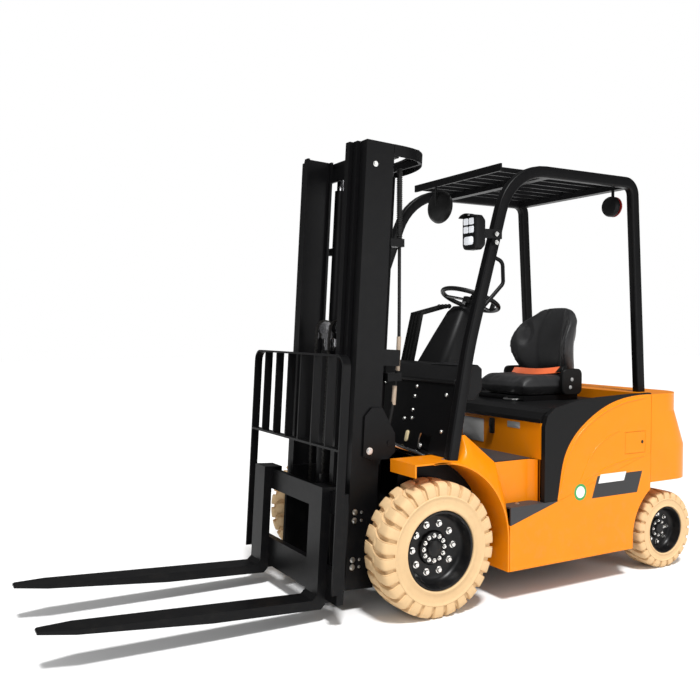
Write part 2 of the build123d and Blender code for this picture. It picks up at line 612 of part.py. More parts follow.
def fork(x):
    half = fork_width / 2
    heel = 70.0
    back = shank_back
    low = fork_blade_top - fork_thickness
    shape = make_face(Polyline(
        (back, fork_shank_top), (fork_shank_front, fork_shank_top), (fork_shank_front, fork_blade_top + 22),
        (fork_shank_front - 22, fork_blade_top), (fork_shank_front - fork_length + 8, fork_blade_top),
        (fork_shank_front - fork_length, fork_blade_top - 4), (fork_shank_front - fork_length, fork_blade_top - fork_tip_thickness),
        (fork_shank_front - 500, low), (back - 22, low), (back, low + 22), close=True))
    body = drawn_across(shape, x - half, x + half)
    tip_y = fork_shank_front - fork_length
    for side in (1, -1):
        corner = extrude(Plane.XY.offset(low - 5) * make_face(Polyline(
            (x + side * half * 0.45, tip_y - 1), (x + side * (half + 1), tip_y - 1), (x + side * (half + 1), tip_y + 150), close=True)),
            amount=fork_thickness + 20)
        body -= corner
    body += slab(x - half, x + half, (back - 1, fork_bar_top + fork_hook_gap), (back - 1, fork_shank_top),
                 (bar_back + fork_hook_gap + 18, fork_shank_top), (bar_back + fork_hook_gap + 18, fork_bar_top - 34),
                 (bar_back + fork_hook_gap, fork_bar_top - 34), (bar_back + fork_hook_gap, fork_bar_top + fork_hook_gap))
    body += slab(x - half, x + half, (back - 1, fork_bar_bottom - 16), (back - 1, fork_bar_bottom - fork_hook_gap),
                 (bar_back + fork_hook_gap, fork_bar_bottom - fork_hook_gap), (bar_back + fork_hook_gap, fork_bar_bottom + 24),
                 (bar_back + 16, fork_bar_bottom + 24), (bar_back + 16, fork_bar_bottom - 16))
    return body


fork_left = fork(fork_spread)
fork_right = fork(-fork_spread)

# Load backrest
rest_back = bar_front + 10
half = backrest_half_width
post = block(half - backrest_plate, half, rest_back - backrest_bar, rest_back, backrest_foot, backrest_top - 60)
load_backrest = post + mirrored(post)
load_backrest += block(-half + 60, half - 60, rest_back - backrest_bar, rest_back, backrest_top - backrest_plate, backrest_top)
load_backrest += block(-half + 1, half - 1, rest_back - backrest_bar, rest_back, backrest_shelf - backrest_plate, backrest_shelf)
for side in (1, -1):
    quarter = Circle(60) - Circle(60 - backrest_plate)
    quarter &= Pos(50, 50) * Rectangle(100, 100)
    arc = extrude(Plane(origin=(half - 60, rest_back, backrest_top - 60), x_dir=(1, 0, 0), z_dir=(0, -1, 0)) * quarter,
                  amount=backrest_bar)
    load_backrest += arc if side == 1 else mirrored(arc)
for number in range(backrest_bars):
    x = (number - (backrest_bars - 1) / 2) * 2 * half / (backrest_bars + 1)
    load_backrest += block(x - 5, x + 5, rest_back - backrest_bar, rest_back, backrest_shelf - 1, backrest_top - 1)

# Tilt cylinders
chassis_pin_y = 392.0
chassis_pin_z = 600.0
mast_pin = Vector(*tilted_point(tilt_x, tilt_pin_y, tilt_pin_z))
chassis_pin = Vector(tilt_x, chassis_pin_y, chassis_pin_z)
tilt_line = mast_pin - chassis_pin
tilt_length = tilt_line.length
tilt_angle = degrees(atan2(tilt_line.Z, -tilt_line.Y))


def along_tilt(shape):
    """from a cylinder drawn along -Y from its chassis pin to its place"""
    return Pos(chassis_pin) * Rot(-tilt_angle, 0, 0) * shape


tilt_barrel_radius = 34.0
tilt_rod_radius = 20.0
barrel_length = 330.0
tilt_barrel = rod_x(28, -tilt_eye_half, tilt_eye_half, 0, 0) + rod_y(tilt_barrel_radius, -barrel_length, -34, 0, 0)
tilt_barrel += block(-14, 14, -40, 0, -20, 20)
tilt_barrel -= rod_x(tilt_pin_radius + pin_gap, -30, 30, 0, 0)
tilt_barrel -= rod_y(tilt_rod_radius + pin_gap, -barrel_length - 1, -60, 0, 0)
tilt_rod = rod_y(tilt_rod_radius, -tilt_length + 20, -116, 0, 0)
tilt_rod += rod_x(28, -tilt_eye_half, tilt_eye_half, -tilt_length, 0)
tilt_rod -= rod_x(tilt_pin_radius + 2, -30, 30, -tilt_length, 0)
for x in (tilt_x - tilt_eye_half - 13, tilt_x + tilt_eye_half + 3):
    ear = slab(x, x + 10, (bulkhead_y, chassis_pin_z - 40), (chassis_pin_y - 10, chassis_pin_z - 22),
               (chassis_pin_y - 22, chassis_pin_z), (chassis_pin_y - 10, chassis_pin_z + 22), (bulkhead_y, chassis_pin_z + 40))
    chassis_frame += ear
    chassis_frame += mirrored(ear)
chassis_pin_rod = rod_x(tilt_pin_radius, tilt_x - tilt_eye_half - 13, tilt_x + tilt_eye_half + 13, chassis_pin_y, chassis_pin_z)
chassis_frame += chassis_pin_rod
chassis_frame += mirrored(chassis_pin_rod)

# Hood with the seat
hood = slab(-hood_half_width, hood_half_width, (644, 885.3), (644, 905), (676, 938), (740, hood_top), (hood_hinge_y, hood_top),
            (hood_hinge_y, hood_top - 25), (750, hood_top - 25), (690, 905), (668, 885.3))
seat_base = block(-200, 200, 880, 1300, hood_top + seat_gap, 985)
seat_cushion = block(-240, 240, 850, 1300, 985 + seat_gap, 1100)
seat_back = slab(-230, 230, (1210, 1100 + seat_gap), (1185, 1300), (1250, 1500), (1340, 1505), (1390, 1420),
                 (1340, 1100 + seat_gap))
seat_belt = block(-180, 245, 1130, 1178, 1100 + seat_gap, 1104)

# Everything by name
nodes = {
    "chassis_frame": chassis_frame,
    "drive_axle": drive_axle,
    "steer_axle": steer_axle,
    "battery_block": battery_block,
    "fenders": fenders,
    "lower_sides": lower_sides,
    "side_panels": side_panels,
    "side_trims": both(side_trim),
    "floor_and_steps": floor_and_steps,
    "seat_box_panel": seat_box_panel,
    "cowl": cowl,
    "steering_column": steering_column,
    "levers_and_pedals": levers + pedals,
    "counterweight": counterweight,
    "tow_pin": tow_pin,
    "guard_frame_left": guard_frame,
    "guard_frame_right": mirrored(guard_frame),
    "guard_roof": guard_roof,
    "lamps": lamps,
    "steering_wheel": steering_wheel,
    "charge_flap": charge_flap,
    "hood": hood,
    "seat_base": seat_base,
    "seat_cushion": seat_cushion,
    "seat_back": seat_back,
    "seat_belt": seat_belt,
    "front_tyre_left": front_place * front_tyre,
    "front_rim_left": front_place * front_rim,
    "front_tyre_right": mirrored(front_place * front_tyre),
    "front_rim_right": mirrored(front_place * front_rim),
    "rear_tyre_left": rear_place * rear_tyre,
    "rear_rim_left": rear_place * rear_rim,
    "rear_tyre_right": mirrored(rear_place * rear_tyre),
    "rear_rim_right": mirrored(rear_place * rear_rim),
    "knuckle_left": knuckle,
    "knuckle_right": mirrored(knuckle),
    "outer_mast": tilted(outer_mast),
    "lift_cylinders": tilted(both(lift_cylinder)),
    "lift_rods": tilted(both(lift_rod)),
    "middle_mast": tilted(middle_mast),
    "inner_mast": tilted(inner_mast),
    "free_lift_cylinder": tilted(free_cylinder),
    "free_lift_rod": tilted(free_rod),
    "lift_chains": tilted(lift_chains),
    "carriage": tilted(carriage),
    "load_backrest": tilted(load_backrest),
    "fork_left": tilted(fork_left),
    "fork_right": tilted(fork_right),
    "tilt_barrel_left": along_tilt(tilt_barrel),
    "tilt_barrel_right": mirrored(along_tilt(tilt_barrel)),
    "tilt_rod_left": along_tilt(tilt_rod),
    "tilt_rod_right": mirrored(along_tilt(tilt_rod)),
}

# The origin goes under the middle of the length, between the fork tips and the counterweight
tip = tilted_point(0, fork_shank_front - fork_length, fork_blade_top - 4)
origin_y = (tip[1] + counterweight_rear) / 2

os.makedirs("parts", exist_ok=True)
for name, shape in nodes.items():
    moved = [Pos(0, -origin_y, 0) * solid for solid in solids_of(shape)]
    whole = moved[0] if len(moved) == 1 else Compound(children=moved)
    export_step(whole, "parts/" + name + ".step")

print("origin_y", origin_y)
print("tilt line", tuple(tilt_line.normalized()))
print("mast pin", mast_pin, "chassis pin", chassis_pin, "length", tilt_length, "angle", tilt_angle)
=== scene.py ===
import json
from math import cos, pi, radians, sin

import bpy
import numpy as np
from mathutils import Matrix, Vector


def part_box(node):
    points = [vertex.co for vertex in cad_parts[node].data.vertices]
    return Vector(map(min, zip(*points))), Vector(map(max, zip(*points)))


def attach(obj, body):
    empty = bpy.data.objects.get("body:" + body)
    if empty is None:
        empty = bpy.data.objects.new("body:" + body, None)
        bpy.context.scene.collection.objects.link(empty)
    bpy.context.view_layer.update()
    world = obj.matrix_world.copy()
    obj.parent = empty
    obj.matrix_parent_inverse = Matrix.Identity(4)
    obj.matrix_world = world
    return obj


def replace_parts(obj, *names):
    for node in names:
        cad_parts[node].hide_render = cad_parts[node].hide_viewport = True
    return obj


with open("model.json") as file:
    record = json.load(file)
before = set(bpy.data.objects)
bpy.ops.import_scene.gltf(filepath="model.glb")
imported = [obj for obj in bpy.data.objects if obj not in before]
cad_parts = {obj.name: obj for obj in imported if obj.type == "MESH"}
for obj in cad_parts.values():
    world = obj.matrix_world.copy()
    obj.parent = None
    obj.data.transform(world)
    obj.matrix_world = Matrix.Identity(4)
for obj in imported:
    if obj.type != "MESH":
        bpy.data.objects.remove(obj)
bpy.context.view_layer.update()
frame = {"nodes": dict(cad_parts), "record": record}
nodes = frame["nodes"]

# Camera at the photograph's angle, in the frame of the part
camera_azimuth = 60.217
camera_pitch = 1.62
camera_roll = 0.074
camera_lens = 41.74
camera_place = (3.7007, -2.2969, 1.3776)
floor_size = 60.0

# The truck's own axes: the front axle, which is the mast's pivot as well, and the mast's lean
tyre_low, tyre_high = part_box("front_tyre_left")
axle_y = (tyre_low[1] + tyre_high[1]) / 2
mast_lean = radians(3.2)
axle_z = 324.0
left = np.array((1.0, 0.0, 0.0))
forward = np.array((0.0, -1.0, 0.0))
upward = np.array((0.0, 0.0, 1.0))


def on_truck(x, y, z):
    """millimetres from the floor under the front axle, to metres in the part's frame"""
    return np.stack(np.broadcast_arrays(np.asarray(x, float), y, z), -1) / 1000 + (0, axle_y, 0)


def on_mast(x, y, z):
    """the same for the mast's upright position: turned by its lean about the front axle"""
    rise = np.asarray(z, float) - axle_z
    return on_truck(x, np.asarray(y, float) * cos(mast_lean) + rise * sin(mast_lean),
                    axle_z - np.asarray(y, float) * sin(mast_lean) + rise * cos(mast_lean))


def leaning(direction):
    """a direction drawn on the upright mast, turned by its lean"""
    x, y, z = direction
    return np.array((x, y * cos(mast_lean) + z * sin(mast_lean), z * cos(mast_lean) - y * sin(mast_lean)))


# Shader building

class Shade:
    """builds one material's nodes: one method for any node, and sockets that take part in sums"""

    def __init__(self, name):
        self.material = bpy.data.materials.new(name)
        self.material.use_nodes = True
        self.tree = self.material.node_tree
        self.tree.nodes.clear()
        self.surface = self.node("ShaderNodeBsdfPrincipled").node
        output = self.node("ShaderNodeOutputMaterial").node
        self.tree.links.new(self.surface.outputs["BSDF"], output.inputs["Surface"])
        self.place = self.node("ShaderNodeTexCoord", out="Object")

    def node(self, kind, settings=None, out=0, **sockets):
        made = self.tree.nodes.new(kind)
        for key, value in (settings or {}).items():
            setattr(made, key, value)
        for key, value in sockets.items():
            self.feed(made, key, value)
        return Value(self, made, out)

    def feed(self, made, key, value):
        numbered = key[0] == "i" and key[1:].isdigit()
        socket = made.inputs[int(key[1:]) if numbered else key.replace("_", " ")]
        if isinstance(value, Value):
            self.tree.links.new(value.socket, socket)
        else:
            socket.default_value = value

    def noise(self, scale, detail=3.0, roughness=0.5, distortion=0.0, place=None):
        return self.node("ShaderNodeTexNoise", out="Fac", Vector=place or self.place, Scale=scale,
                         Detail=detail, Roughness=roughness, Distortion=distortion)

    def cells(self, scale):
        return self.node("ShaderNodeTexVoronoi", out="Distance", Vector=self.place, Scale=scale)

    def along(self, axis):
        return self.node("ShaderNodeSeparateXYZ", out=axis, Vector=self.place)

    def stretched(self, x, y, z):
        return self.node("ShaderNodeVectorMath", {"operation": "MULTIPLY"}, i0=self.place, i1=(x, y, z))

    def mix(self, factor, a, b):
        made = self.node("ShaderNodeMix", {"data_type": "RGBA"}, out=2)
        for index, value in ((0, factor), (6, a), (7, b)):
            socket = made.node.inputs[index]
            if isinstance(value, Value):
                self.tree.links.new(value.socket, socket)
            else:
                socket.default_value = value if index == 0 or len(value) == 4 else (*value, 1.0)
        return made

    def set(self, **sockets):
        for key, value in sockets.items():
            self.feed(self.surface, key, value)

    def bump(self, height, strength=0.2, distance=0.002):
        self.set(Normal=self.node("ShaderNodeBump", out="Normal", Height=height, Strength=strength,
                                  Distance=distance))


class Value:
    """one output socket, with the operators that shader maths needs"""

    def __init__(self, shade, node, out=0):
        self.shade = shade
        self.node = node
        self.socket = node.outputs[out] if node.outputs else None

    def maths(self, operation, a, b=0.0):
        made = self.shade.tree.nodes.new("ShaderNodeMath")
        made.operation = operation
        for index, value in enumerate((a, b)):
            if isinstance(value, Value):
                self.shade.tree.links.new(value.socket, made.inputs[index])
            else:
                made.inputs[index].default_value = value
        return Value(self.shade, made)

    def __add__(self, other):
        return self.maths("ADD", self, other)

    def __sub__(self, other):
        return self.maths("SUBTRACT", self, other)

    def __mul__(self, other):
        return self.maths("MULTIPLY", self, other)

    def __rsub__(self, other):
        return self.maths("SUBTRACT", other, self)

    def sine(self):
        return self.maths("SINE", self)

    def kept(self, low, high):
        """0 below low, 1 above high, smooth between"""
        return self.shade.node("ShaderNodeMapRange", {"interpolation_type": "SMOOTHSTEP"}, Value=self,
                               From_Min=low, From_Max=high)

    __radd__ = __add__
    __rmul__ = __mul__


def scaled(colour, factor):
    return tuple(factor * channel for channel in colour)


dust = (0.32, 0.27, 0.21)
floor_stain = (0.40, 0.28, 0.17)


def enamel(name, colour, roughness, coat=0.0, specular=0.5, dust_share=0.05, peel=0.03):
    """sprayed metal: a slow change of tone, fine orange peel, and thin dust low down and in patches"""
    shade = Shade(name)
    tone = shade.noise(5.0, 4.0)
    patches = shade.noise(18.0, 6.0, 0.65).kept(0.45, 0.75)
    low = 1.0 - shade.along("Z").kept(0.1, 0.9)
    base = shade.mix(tone, scaled(colour, 0.90), scaled(colour, 1.04))
    dusty = patches * (0.25 + 0.75 * low) * dust_share
    shade.set(Base_Color=shade.mix(dusty, base, dust), Coat_Weight=coat,
              Specular_IOR_Level=specular, Coat_Roughness=0.08,
              Roughness=roughness - 0.04 + 0.08 * shade.noise(30.0, 5.0) + 0.3 * dusty)
    shade.bump(shade.noise(420.0, 2.0), peel, 0.001)
    return shade.material


def moulded(name, colour, roughness, grain=1400.0, depth=0.12, specular=0.4):
    """moulded plastic: fine pebbled grain, with a slow change of tone"""
    shade = Shade(name)
    pebbles = shade.cells(grain)
    tone = shade.noise(7.0, 4.0)
    base = shade.mix(tone, scaled(colour, 0.85), scaled(colour, 1.12))
    shade.set(Base_Color=base, Specular_IOR_Level=specular,
              Roughness=roughness - 0.06 + 0.12 * shade.noise(24.0, 4.0))
    shade.bump(pebbles, depth, 0.0006)
    return shade.material


def metal(name, colour, roughness, lines=0.0, metallic=1.0):
    """bare or plated metal, with fine drawn lines that are deeper where asked"""
    shade = Shade(name)
    streak = shade.noise(60.0, 4.0, place=shade.stretched(20.0, 20.0, 1.0))
    base = shade.mix(shade.noise(25.0, 5.0), scaled(colour, 0.82), colour)
    shade.set(Base_Color=base, Metallic=metallic,
              Roughness=roughness - 0.04 + 0.1 * shade.noise(90.0, 4.0))
    shade.bump(streak, 0.02 + lines, 0.0004)
    return shade.material


def tyre_rubber(name, colour):
    """light solid-tyre rubber: mottled, greyer where it touched the floor, with a matt moulded skin"""
    shade = Shade(name)
    mottle = shade.noise(9.0, 6.0, 0.6)
    stain = shade.noise(30.0, 6.0, 0.7, 0.4).kept(0.52, 0.80)
    base = shade.mix(mottle, scaled(colour, 0.88), scaled(colour, 1.06))
    shade.set(Base_Color=shade.mix(0.22 * stain, base, floor_stain), Specular_IOR_Level=0.25,
              Roughness=0.74 + 0.14 * shade.noise(40.0, 4.0))
    shade.bump(shade.noise(260.0, 5.0) + 0.4 * shade.cells(900.0), 0.16, 0.0012)
    return shade.material


def vinyl(name, colour):
    """coated seat fabric: leather grain of joined cells over soft creases, a dull sheen where it is worn"""
    shade = Shade(name)
    grain = shade.cells(620.0) + 0.5 * shade.cells(1500.0)
    worn = shade.noise(6.0, 3.0)
    shade.set(Base_Color=shade.mix(worn, scaled(colour, 0.8), scaled(colour, 1.25)), Specular_IOR_Level=0.35,
              Roughness=0.40 + 0.16 * shade.noise(20.0, 4.0), Sheen_Weight=0.08)
    shade.bump(grain + 0.6 * shade.noise(24.0, 3.0), 0.22, 0.0009)
    return shade.material


def webbing(name, colour):
    """woven belt: a weave of ribs along and across the strap, from its own UV map"""
    shade = Shade(name)
    strap = shade.node("ShaderNodeUVMap", out="UV")
    along = shade.node("ShaderNodeSeparateXYZ", out="X", Vector=strap)
    across = shade.node("ShaderNodeSeparateXYZ", out="Y", Vector=strap)
    weave = (along * 900.0).sine() * (across * 110.0).sine()
    shade.set(Base_Color=shade.mix(0.5 + 0.5 * weave, scaled(colour, 0.82), colour), Roughness=0.68,
              Sheen_Weight=0.25, Specular_IOR_Level=0.2)
    shade.bump(weave, 0.35, 0.0006)
    return shade.material


def rubber_hose(name, colour):
    """hose cover: matt, with a fine wrapped-cloth texture"""
    shade = Shade(name)
    wrap = (shade.along("Z") * 2400.0).sine() * 0.5 + shade.noise(700.0, 2.0)
    base = shade.mix(shade.noise(12.0, 3.0), scaled(colour, 0.8), scaled(colour, 1.2))
    shade.set(Base_Color=base, Roughness=0.62, Specular_IOR_Level=0.3)
    shade.bump(wrap, 0.15, 0.0005)
    return shade.material


def printed_sheet(name, colour, roughness=0.45):
    """blank label stock: even colour with faint handling marks"""
    shade = Shade(name)
    marks = shade.noise(60.0, 5.0, 0.7).kept(0.5, 0.8)
    shade.set(Base_Color=shade.mix(0.12 * marks, colour, scaled(colour, 0.7)),
              Roughness=roughness + 0.1 * marks, Coat_Weight=0.15, Specular_IOR_Level=0.4)
    shade.bump(shade.noise(300.0, 2.0), 0.03, 0.0004)
    return shade.material


def lens(name, colour, glow):
    """lamp lens: fluted clear-coated plastic with a little light of its own where asked"""
    shade = Shade(name)
    flutes = (shade.along("X") * 700.0).sine() * (shade.along("Z") * 700.0).sine()
    shade.set(Base_Color=shade.mix(0.5 + 0.5 * flutes, scaled(colour, 0.8), colour),
              Roughness=0.12 + 0.05 * flutes, Coat_Weight=1.0,
              Emission_Color=(*colour, 1.0), Emission_Strength=glow)
    shade.bump(flutes, 0.25, 0.0008)
    return shade.material


# A material for each slot, and a few more for small parts
orange = (0.80, 0.232, 0.002)
cream = (0.66, 0.455, 0.245)
materials = {
    "body_orange": enamel("orange_enamel", orange, 0.34, 0.06, 0.18, dust_share=0.10, peel=0.02),
    "frame_black": enamel("black_enamel", (0.0040, 0.0040, 0.0044), 0.38, 0.0, 0.13, dust_share=0.012),
    "rim_black": enamel("rim_enamel", (0.004, 0.004, 0.0044), 0.34, specular=0.25, dust_share=0.03),
    "tyre_cream": tyre_rubber("cream_rubber", cream),
    "rod_chrome": metal("hard_chrome", (0.62, 0.62, 0.64), 0.16),
    "chain_steel": metal("oiled_chain", (0.045, 0.043, 0.04), 0.34, 0.05, 0.8),
    "trim_black": moulded("grained_plastic", (0.0075, 0.0075, 0.0078), 0.42, 1200.0, specular=0.12),
    "floor_grey": moulded("grey_plastic", (0.045, 0.045, 0.047), 0.50, 900.0, 0.2, 0.2),
    "control_black": moulded("control_plastic", (0.007, 0.007, 0.007), 0.38, 1600.0, 0.08, 0.2),
    "battery_grey": enamel("battery_enamel", (0.05, 0.052, 0.055), 0.5),
    "seat_vinyl": vinyl("seat_vinyl", (0.014, 0.014, 0.015)),
    "belt_webbing": webbing("belt_webbing", (0.95, 0.17, 0.045)),
}
hose_black = rubber_hose("hose_black", (0.010, 0.010, 0.010))
zinc = metal("zinc_plate", (0.74, 0.74, 0.72), 0.28)
bright_bolt = metal("bright_bolt", (0.88, 0.87, 0.84), 0.22)
white_lens = lens("white_lens", (0.82, 0.84, 0.88), 0.35)
red_lens = lens("red_lens", (0.35, 0.015, 0.01), 0.0)
white_sheet = printed_sheet("white_sheet", (0.78, 0.78, 0.76))
grey_sheet = printed_sheet("grey_sheet", (0.36, 0.36, 0.355))
black_sheet = printed_sheet("black_sheet", (0.012, 0.012, 0.013), 0.35)
green_sheet = printed_sheet("green_sheet", (0.03, 0.30, 0.07))
sleeve_beige = rubber_hose("beige_sleeve", (0.42, 0.33, 0.25))
plug_cream = moulded("plug_cream", (0.72, 0.60, 0.36), 0.45)
mirror_silver = metal("mirror_silver", (0.86, 0.87, 0.88), 0.05)
for subpart in frame["record"]["subparts"]:
    obj = nodes[subpart["node"]]
    obj.data.materials.clear()
    obj.data.materials.append(materials[subpart["material_slot"]])


# Surfaces from grids and profiles

def skin(points, around=False, along=False, capped=False):
    """quads over a grid of points: around closes its rows, along its columns, capped fills the end rings"""
    rows, columns = points.shape[:2]
    row = np.arange(rows if along else rows - 1)[:, None]
    column = np.arange(columns if around else columns - 1)[None, :]
    next_row, next_column = (row + 1) % rows, (column + 1) % columns
    quads = np.stack([row * columns + column, row * columns + next_column,
                      next_row * columns + next_column, next_row * columns + column], -1)
    quads = quads.reshape(-1, 4).tolist()
    if capped:
        quads += [list(range(columns))[::-1], list(range((rows - 1) * columns, rows * columns))]
    return points.reshape(-1, 3), quads


def shell(rings):
    """a closed skin: rings of points one after another, with the first and the last filled"""
    return skin(np.asarray(rings), around=True, capped=True)


def flipped(form):
    """the form with its faces turned the other way"""
    return form[0], [face[::-1] for face in form[1]]


def mirrored(form):
    """the form on the other side of the truck, its faces turned to point outwards again"""
    return flipped((form[0] * (-1, 1, 1), form[1]))


def on_side(side, form):
    """a form that is drawn for the left side, or its mirror image for the right one"""
    return form if side > 0 else mirrored(form)


def laid(outline, across, up):
    """a flat outline in space: u * across + v * up"""
    return outline[:, :1] * across + outline[:, 1:] * up


def corners_of(node):
    """the low and the high corner of a CAD node's box"""
    return np.array(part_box(node))


def frames_along(path, reference):
    """unit tangents of a path, and two unit vectors across it: one square to the reference, one near it"""
    tangents = np.gradient(path, axis=0)
    tangents /= np.linalg.norm(tangents, axis=1, keepdims=True)
    sides = np.cross(tangents, reference)
    sides /= np.linalg.norm(sides, axis=1, keepdims=True)
    return tangents, sides, np.cross(sides, tangents)


def carried(outline, path, reference=left, size=None):
    """a closed outline carried along a path: each ring is path + u * across + v * up, scaled by size"""
    path = np.asarray(path, float)
    _, across, up = frames_along(path, reference)
    scale = np.ones(len(path)) if size is None else np.asarray(size, float)
    rings = path[:, None] + scale[:, None, None] * (outline[None, :, :1] * across[:, None]
                                                    + outline[None, :, 1:] * up[:, None])
    return shell(rings)


def circle(radius, sides=12):
    turn = np.linspace(0, 2 * pi, sides, endpoint=False)
    return radius * np.stack([np.cos(turn), np.sin(turn)], -1)


def rounded_rectangle(width, height, corner, steps=4):
    """a closed outline: each corner's centre plus a quarter circle"""
    quarter = np.linspace(0, pi / 2, steps + 1)
    corners = []
    for number, (sx, sy) in enumerate(((1, 1), (-1, 1), (-1, -1), (1, -1))):
        turn = quarter + number * pi / 2
        corners.append(np.stack([sx * (width / 2 - corner) + corner * np.cos(turn),
                                 sy * (height / 2 - corner) + corner * np.sin(turn)], -1))
    return np.concatenate(corners)


def basis(axis):
    """an axis as a unit vector, and two unit vectors square to it and to each other"""
    axis = np.asarray(axis, float) / np.linalg.norm(axis)
    helper = upward if abs(axis[2]) < 0.9 else left
    across = np.cross(helper, axis)
    across /= np.linalg.norm(across)
    return axis, across, np.cross(axis, across)


def turned(profile, centre, axis, sides=24):
    """a profile of (along, radius) turned about an axis: centre + along * axis + radius * (cos, sin)"""
    axis, across, up = basis(axis)
    profile = np.asarray(profile, float)
    ring = laid(circle(1.0, sides), across, up)
    return shell(np.asarray(centre) + profile[:, :1, None] * axis + profile[:, 1:, None] * ring)


def pad_on(centre, normal, up, width, height, thickness, corner, edge=0.0006):
    """a flat plate with rounded corners and a softened rim, lying on a face with the given normal"""
    normal = np.asarray(normal, float) / np.linalg.norm(normal)
    up = np.asarray(up, float) - np.dot(up, normal) * normal
    up /= np.linalg.norm(up)
    across = np.cross(up, normal)
    outline = laid(rounded_rectangle(width, height, corner), across, up)
    levels = ((0.0, 1.0), (thickness - edge, 1.0), (thickness, 1.0 - 2 * edge / min(width, height)))
    return shell([np.asarray(centre) + level * normal + share * outline for level, share in levels])


def bolt(centre, axis, radius, height, sides=6):
    """a bolt head with a chamfered top and a washer under it"""
    washer = [(0, radius * 1.35), (height * 0.16, radius * 1.35)]
    head = [(height * 0.1, radius), (height * 0.82, radius), (height, radius * 0.84)]
    return joined([turned(washer, centre, axis, 16), turned(head, centre, axis, sides)])


def joined(forms):
    """several forms as one: their points in a row, and faces counted on"""
    points, faces, count = [], [], 0
    for form_points, form_faces in forms:
        points.append(form_points)
        faces += [[index + count for index in face] for face in form_faces]
        count += len(form_points)
    return np.concatenate(points), faces


def linked(name, data):
    """a new object in the scene"""
    made = bpy.data.objects.new(name, data)
    bpy.context.scene.collection.objects.link(made)
    return made


def piece(name, form, body, slot, material=None, sharp=35.0):
    """a finished mesh object that rides on a body, in its slot's material unless another one is given"""
    points, faces = form
    mesh = bpy.data.meshes.new(name)
    mesh.from_pydata(points.tolist(), [], faces)
    mesh.polygons.foreach_set("use_smooth", np.ones(len(faces), bool))
    mesh.set_sharp_from_angle(angle=radians(sharp))
    mesh.materials.append(materials[slot] if material is None else material)
    mesh.validate()
    made = linked(name, mesh)
    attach(made, body)
    return made


def prism(profile, low_x, high_x):
    """a side-view outline of (y, z) in millimetres, carried straight across the truck"""
    profile = np.asarray(profile, float)
    return shell([on_truck(x, profile[:, 0], profile[:, 1]) for x in (high_x, low_x)])


def slab_between(low, high):
    """a plain box between two corners in millimetres"""
    (x0, y0, z0), (x1, y1, z1) = low, high
    return prism([(y0, z0), (y1, z0), (y1, z1), (y0, z1)], x0, x1)


def smooth_step(value, low, high):
    share = np.clip((value - low) / (high - low), 0, 1)
    return share * share * (3 - 2 * share)


# Tyres: one turned skin whose tread is a height function of the turn and the width

def tread_form(centre, outward, radius, half, rim_radius, lugs, depth):
    """a solid tyre: its section turned about the axle, pushed in by grooves.
    The phase is the place within one lug's pitch. It shifts across the width, so the two sides' lugs are
    staggered and meet in a slanted line. Grooves are deepest at the shoulder and end on the sidewall."""
    drop = radius - rim_radius
    across = np.array((0.86, 0.97, 1.0, 0.995, 0.955, 0.945, 0.95, 0.955, 0.985, 0.99, 0.965, 0.97,
                       0.965, 0.955, 0.93, 0.88, 0.80, 0.70, 0.55, 0.42, 0.30, 0.20, 0.12, 0.05))
    height = np.array((0.000, 0.012, 0.05, 0.10, 0.15, 0.26, 0.38, 0.44, 0.475, 0.51, 0.54, 0.60,
                       0.70, 0.78, 0.86, 0.925, 0.97, 0.993, 1.0, 1.003, 1.004, 1.004, 1.004, 1.004))
    height = height * drop / 1.004
    width = half * np.concatenate([across, -across[::-1]])
    level = rim_radius + np.concatenate([height, height[::-1]])
    share = width / half
    groove_edge = 0.150
    phases = np.array((0.0, 0.14, 0.28, 0.36, 0.5 - groove_edge, 0.5 - 0.75 * groove_edge,
                       0.5 + 0.75 * groove_edge, 0.5 + groove_edge, 0.64, 0.72, 0.86))
    phase = np.tile(phases, lugs)
    lug = np.repeat(np.arange(lugs), len(phases))
    slant = 0.25 * np.tanh(4.5 * share) + 0.10 * share
    turn = 2 * pi / lugs * (lug[:, None] + phase[:, None] + slant[None, :])
    inside = smooth_step(groove_edge - np.abs(phase - 0.5), 0.0, 0.25 * groove_edge)[:, None]
    reach = smooth_step((level - rim_radius) / drop, 0.53, 0.62)[None, :]
    fade = 0.35 + 0.65 * smooth_step(np.abs(share), 0.10, 0.45)[None, :]
    sunk = depth * inside * reach * fade
    outer = smooth_step(np.abs(share), 0.75, 0.98)[None, :]
    zigzag = 0.10 * np.sign(np.sin(2 * pi * (phase[:, None] + 0.25)))
    centre_groove = 0.35 * depth * np.exp(-((share[None, :] - zigzag) / 0.035) ** 2)
    rings = level[None, :] - sunk * (1 - 0.35 * outer) - centre_groove * (reach > 0.9)
    wide = width[None, :] - np.sign(width)[None, :] * 0.45 * sunk * outer
    points = np.stack([wide, rings * np.cos(turn), rings * np.sin(turn)], -1) * (outward, 1, 1)
    form = skin(points + np.asarray(centre), along=True)
    return form if outward > 0 else flipped(form)


both_sides = ((1, "left"), (-1, "right"))
tyre_shape = {"front": (0.190, 26, 0.019), "rear": (0.133, 22, 0.014)}
rim_profile = np.array((
    (0.004, 0.0005), (0.004, 0.150), (-0.06, 0.165), (-0.09, 0.176), (-0.09, 0.187), (0.088, 0.1885),
    (0.094, 0.186), (0.095, 0.182), (0.092, 0.177), (0.082, 0.173), (0.054, 0.169), (0.034, 0.162),
    (0.025, 0.150), (0.021, 0.138), (0.020, 0.084), (0.024, 0.080), (0.033, 0.078), (0.035, 0.075),
    (0.035, 0.046), (0.037, 0.043), (0.046, 0.041), (0.049, 0.037), (0.051, 0.0005)))
rim_scale = {"front": (1.0, 1.0), "rear": (0.84, 0.70)}
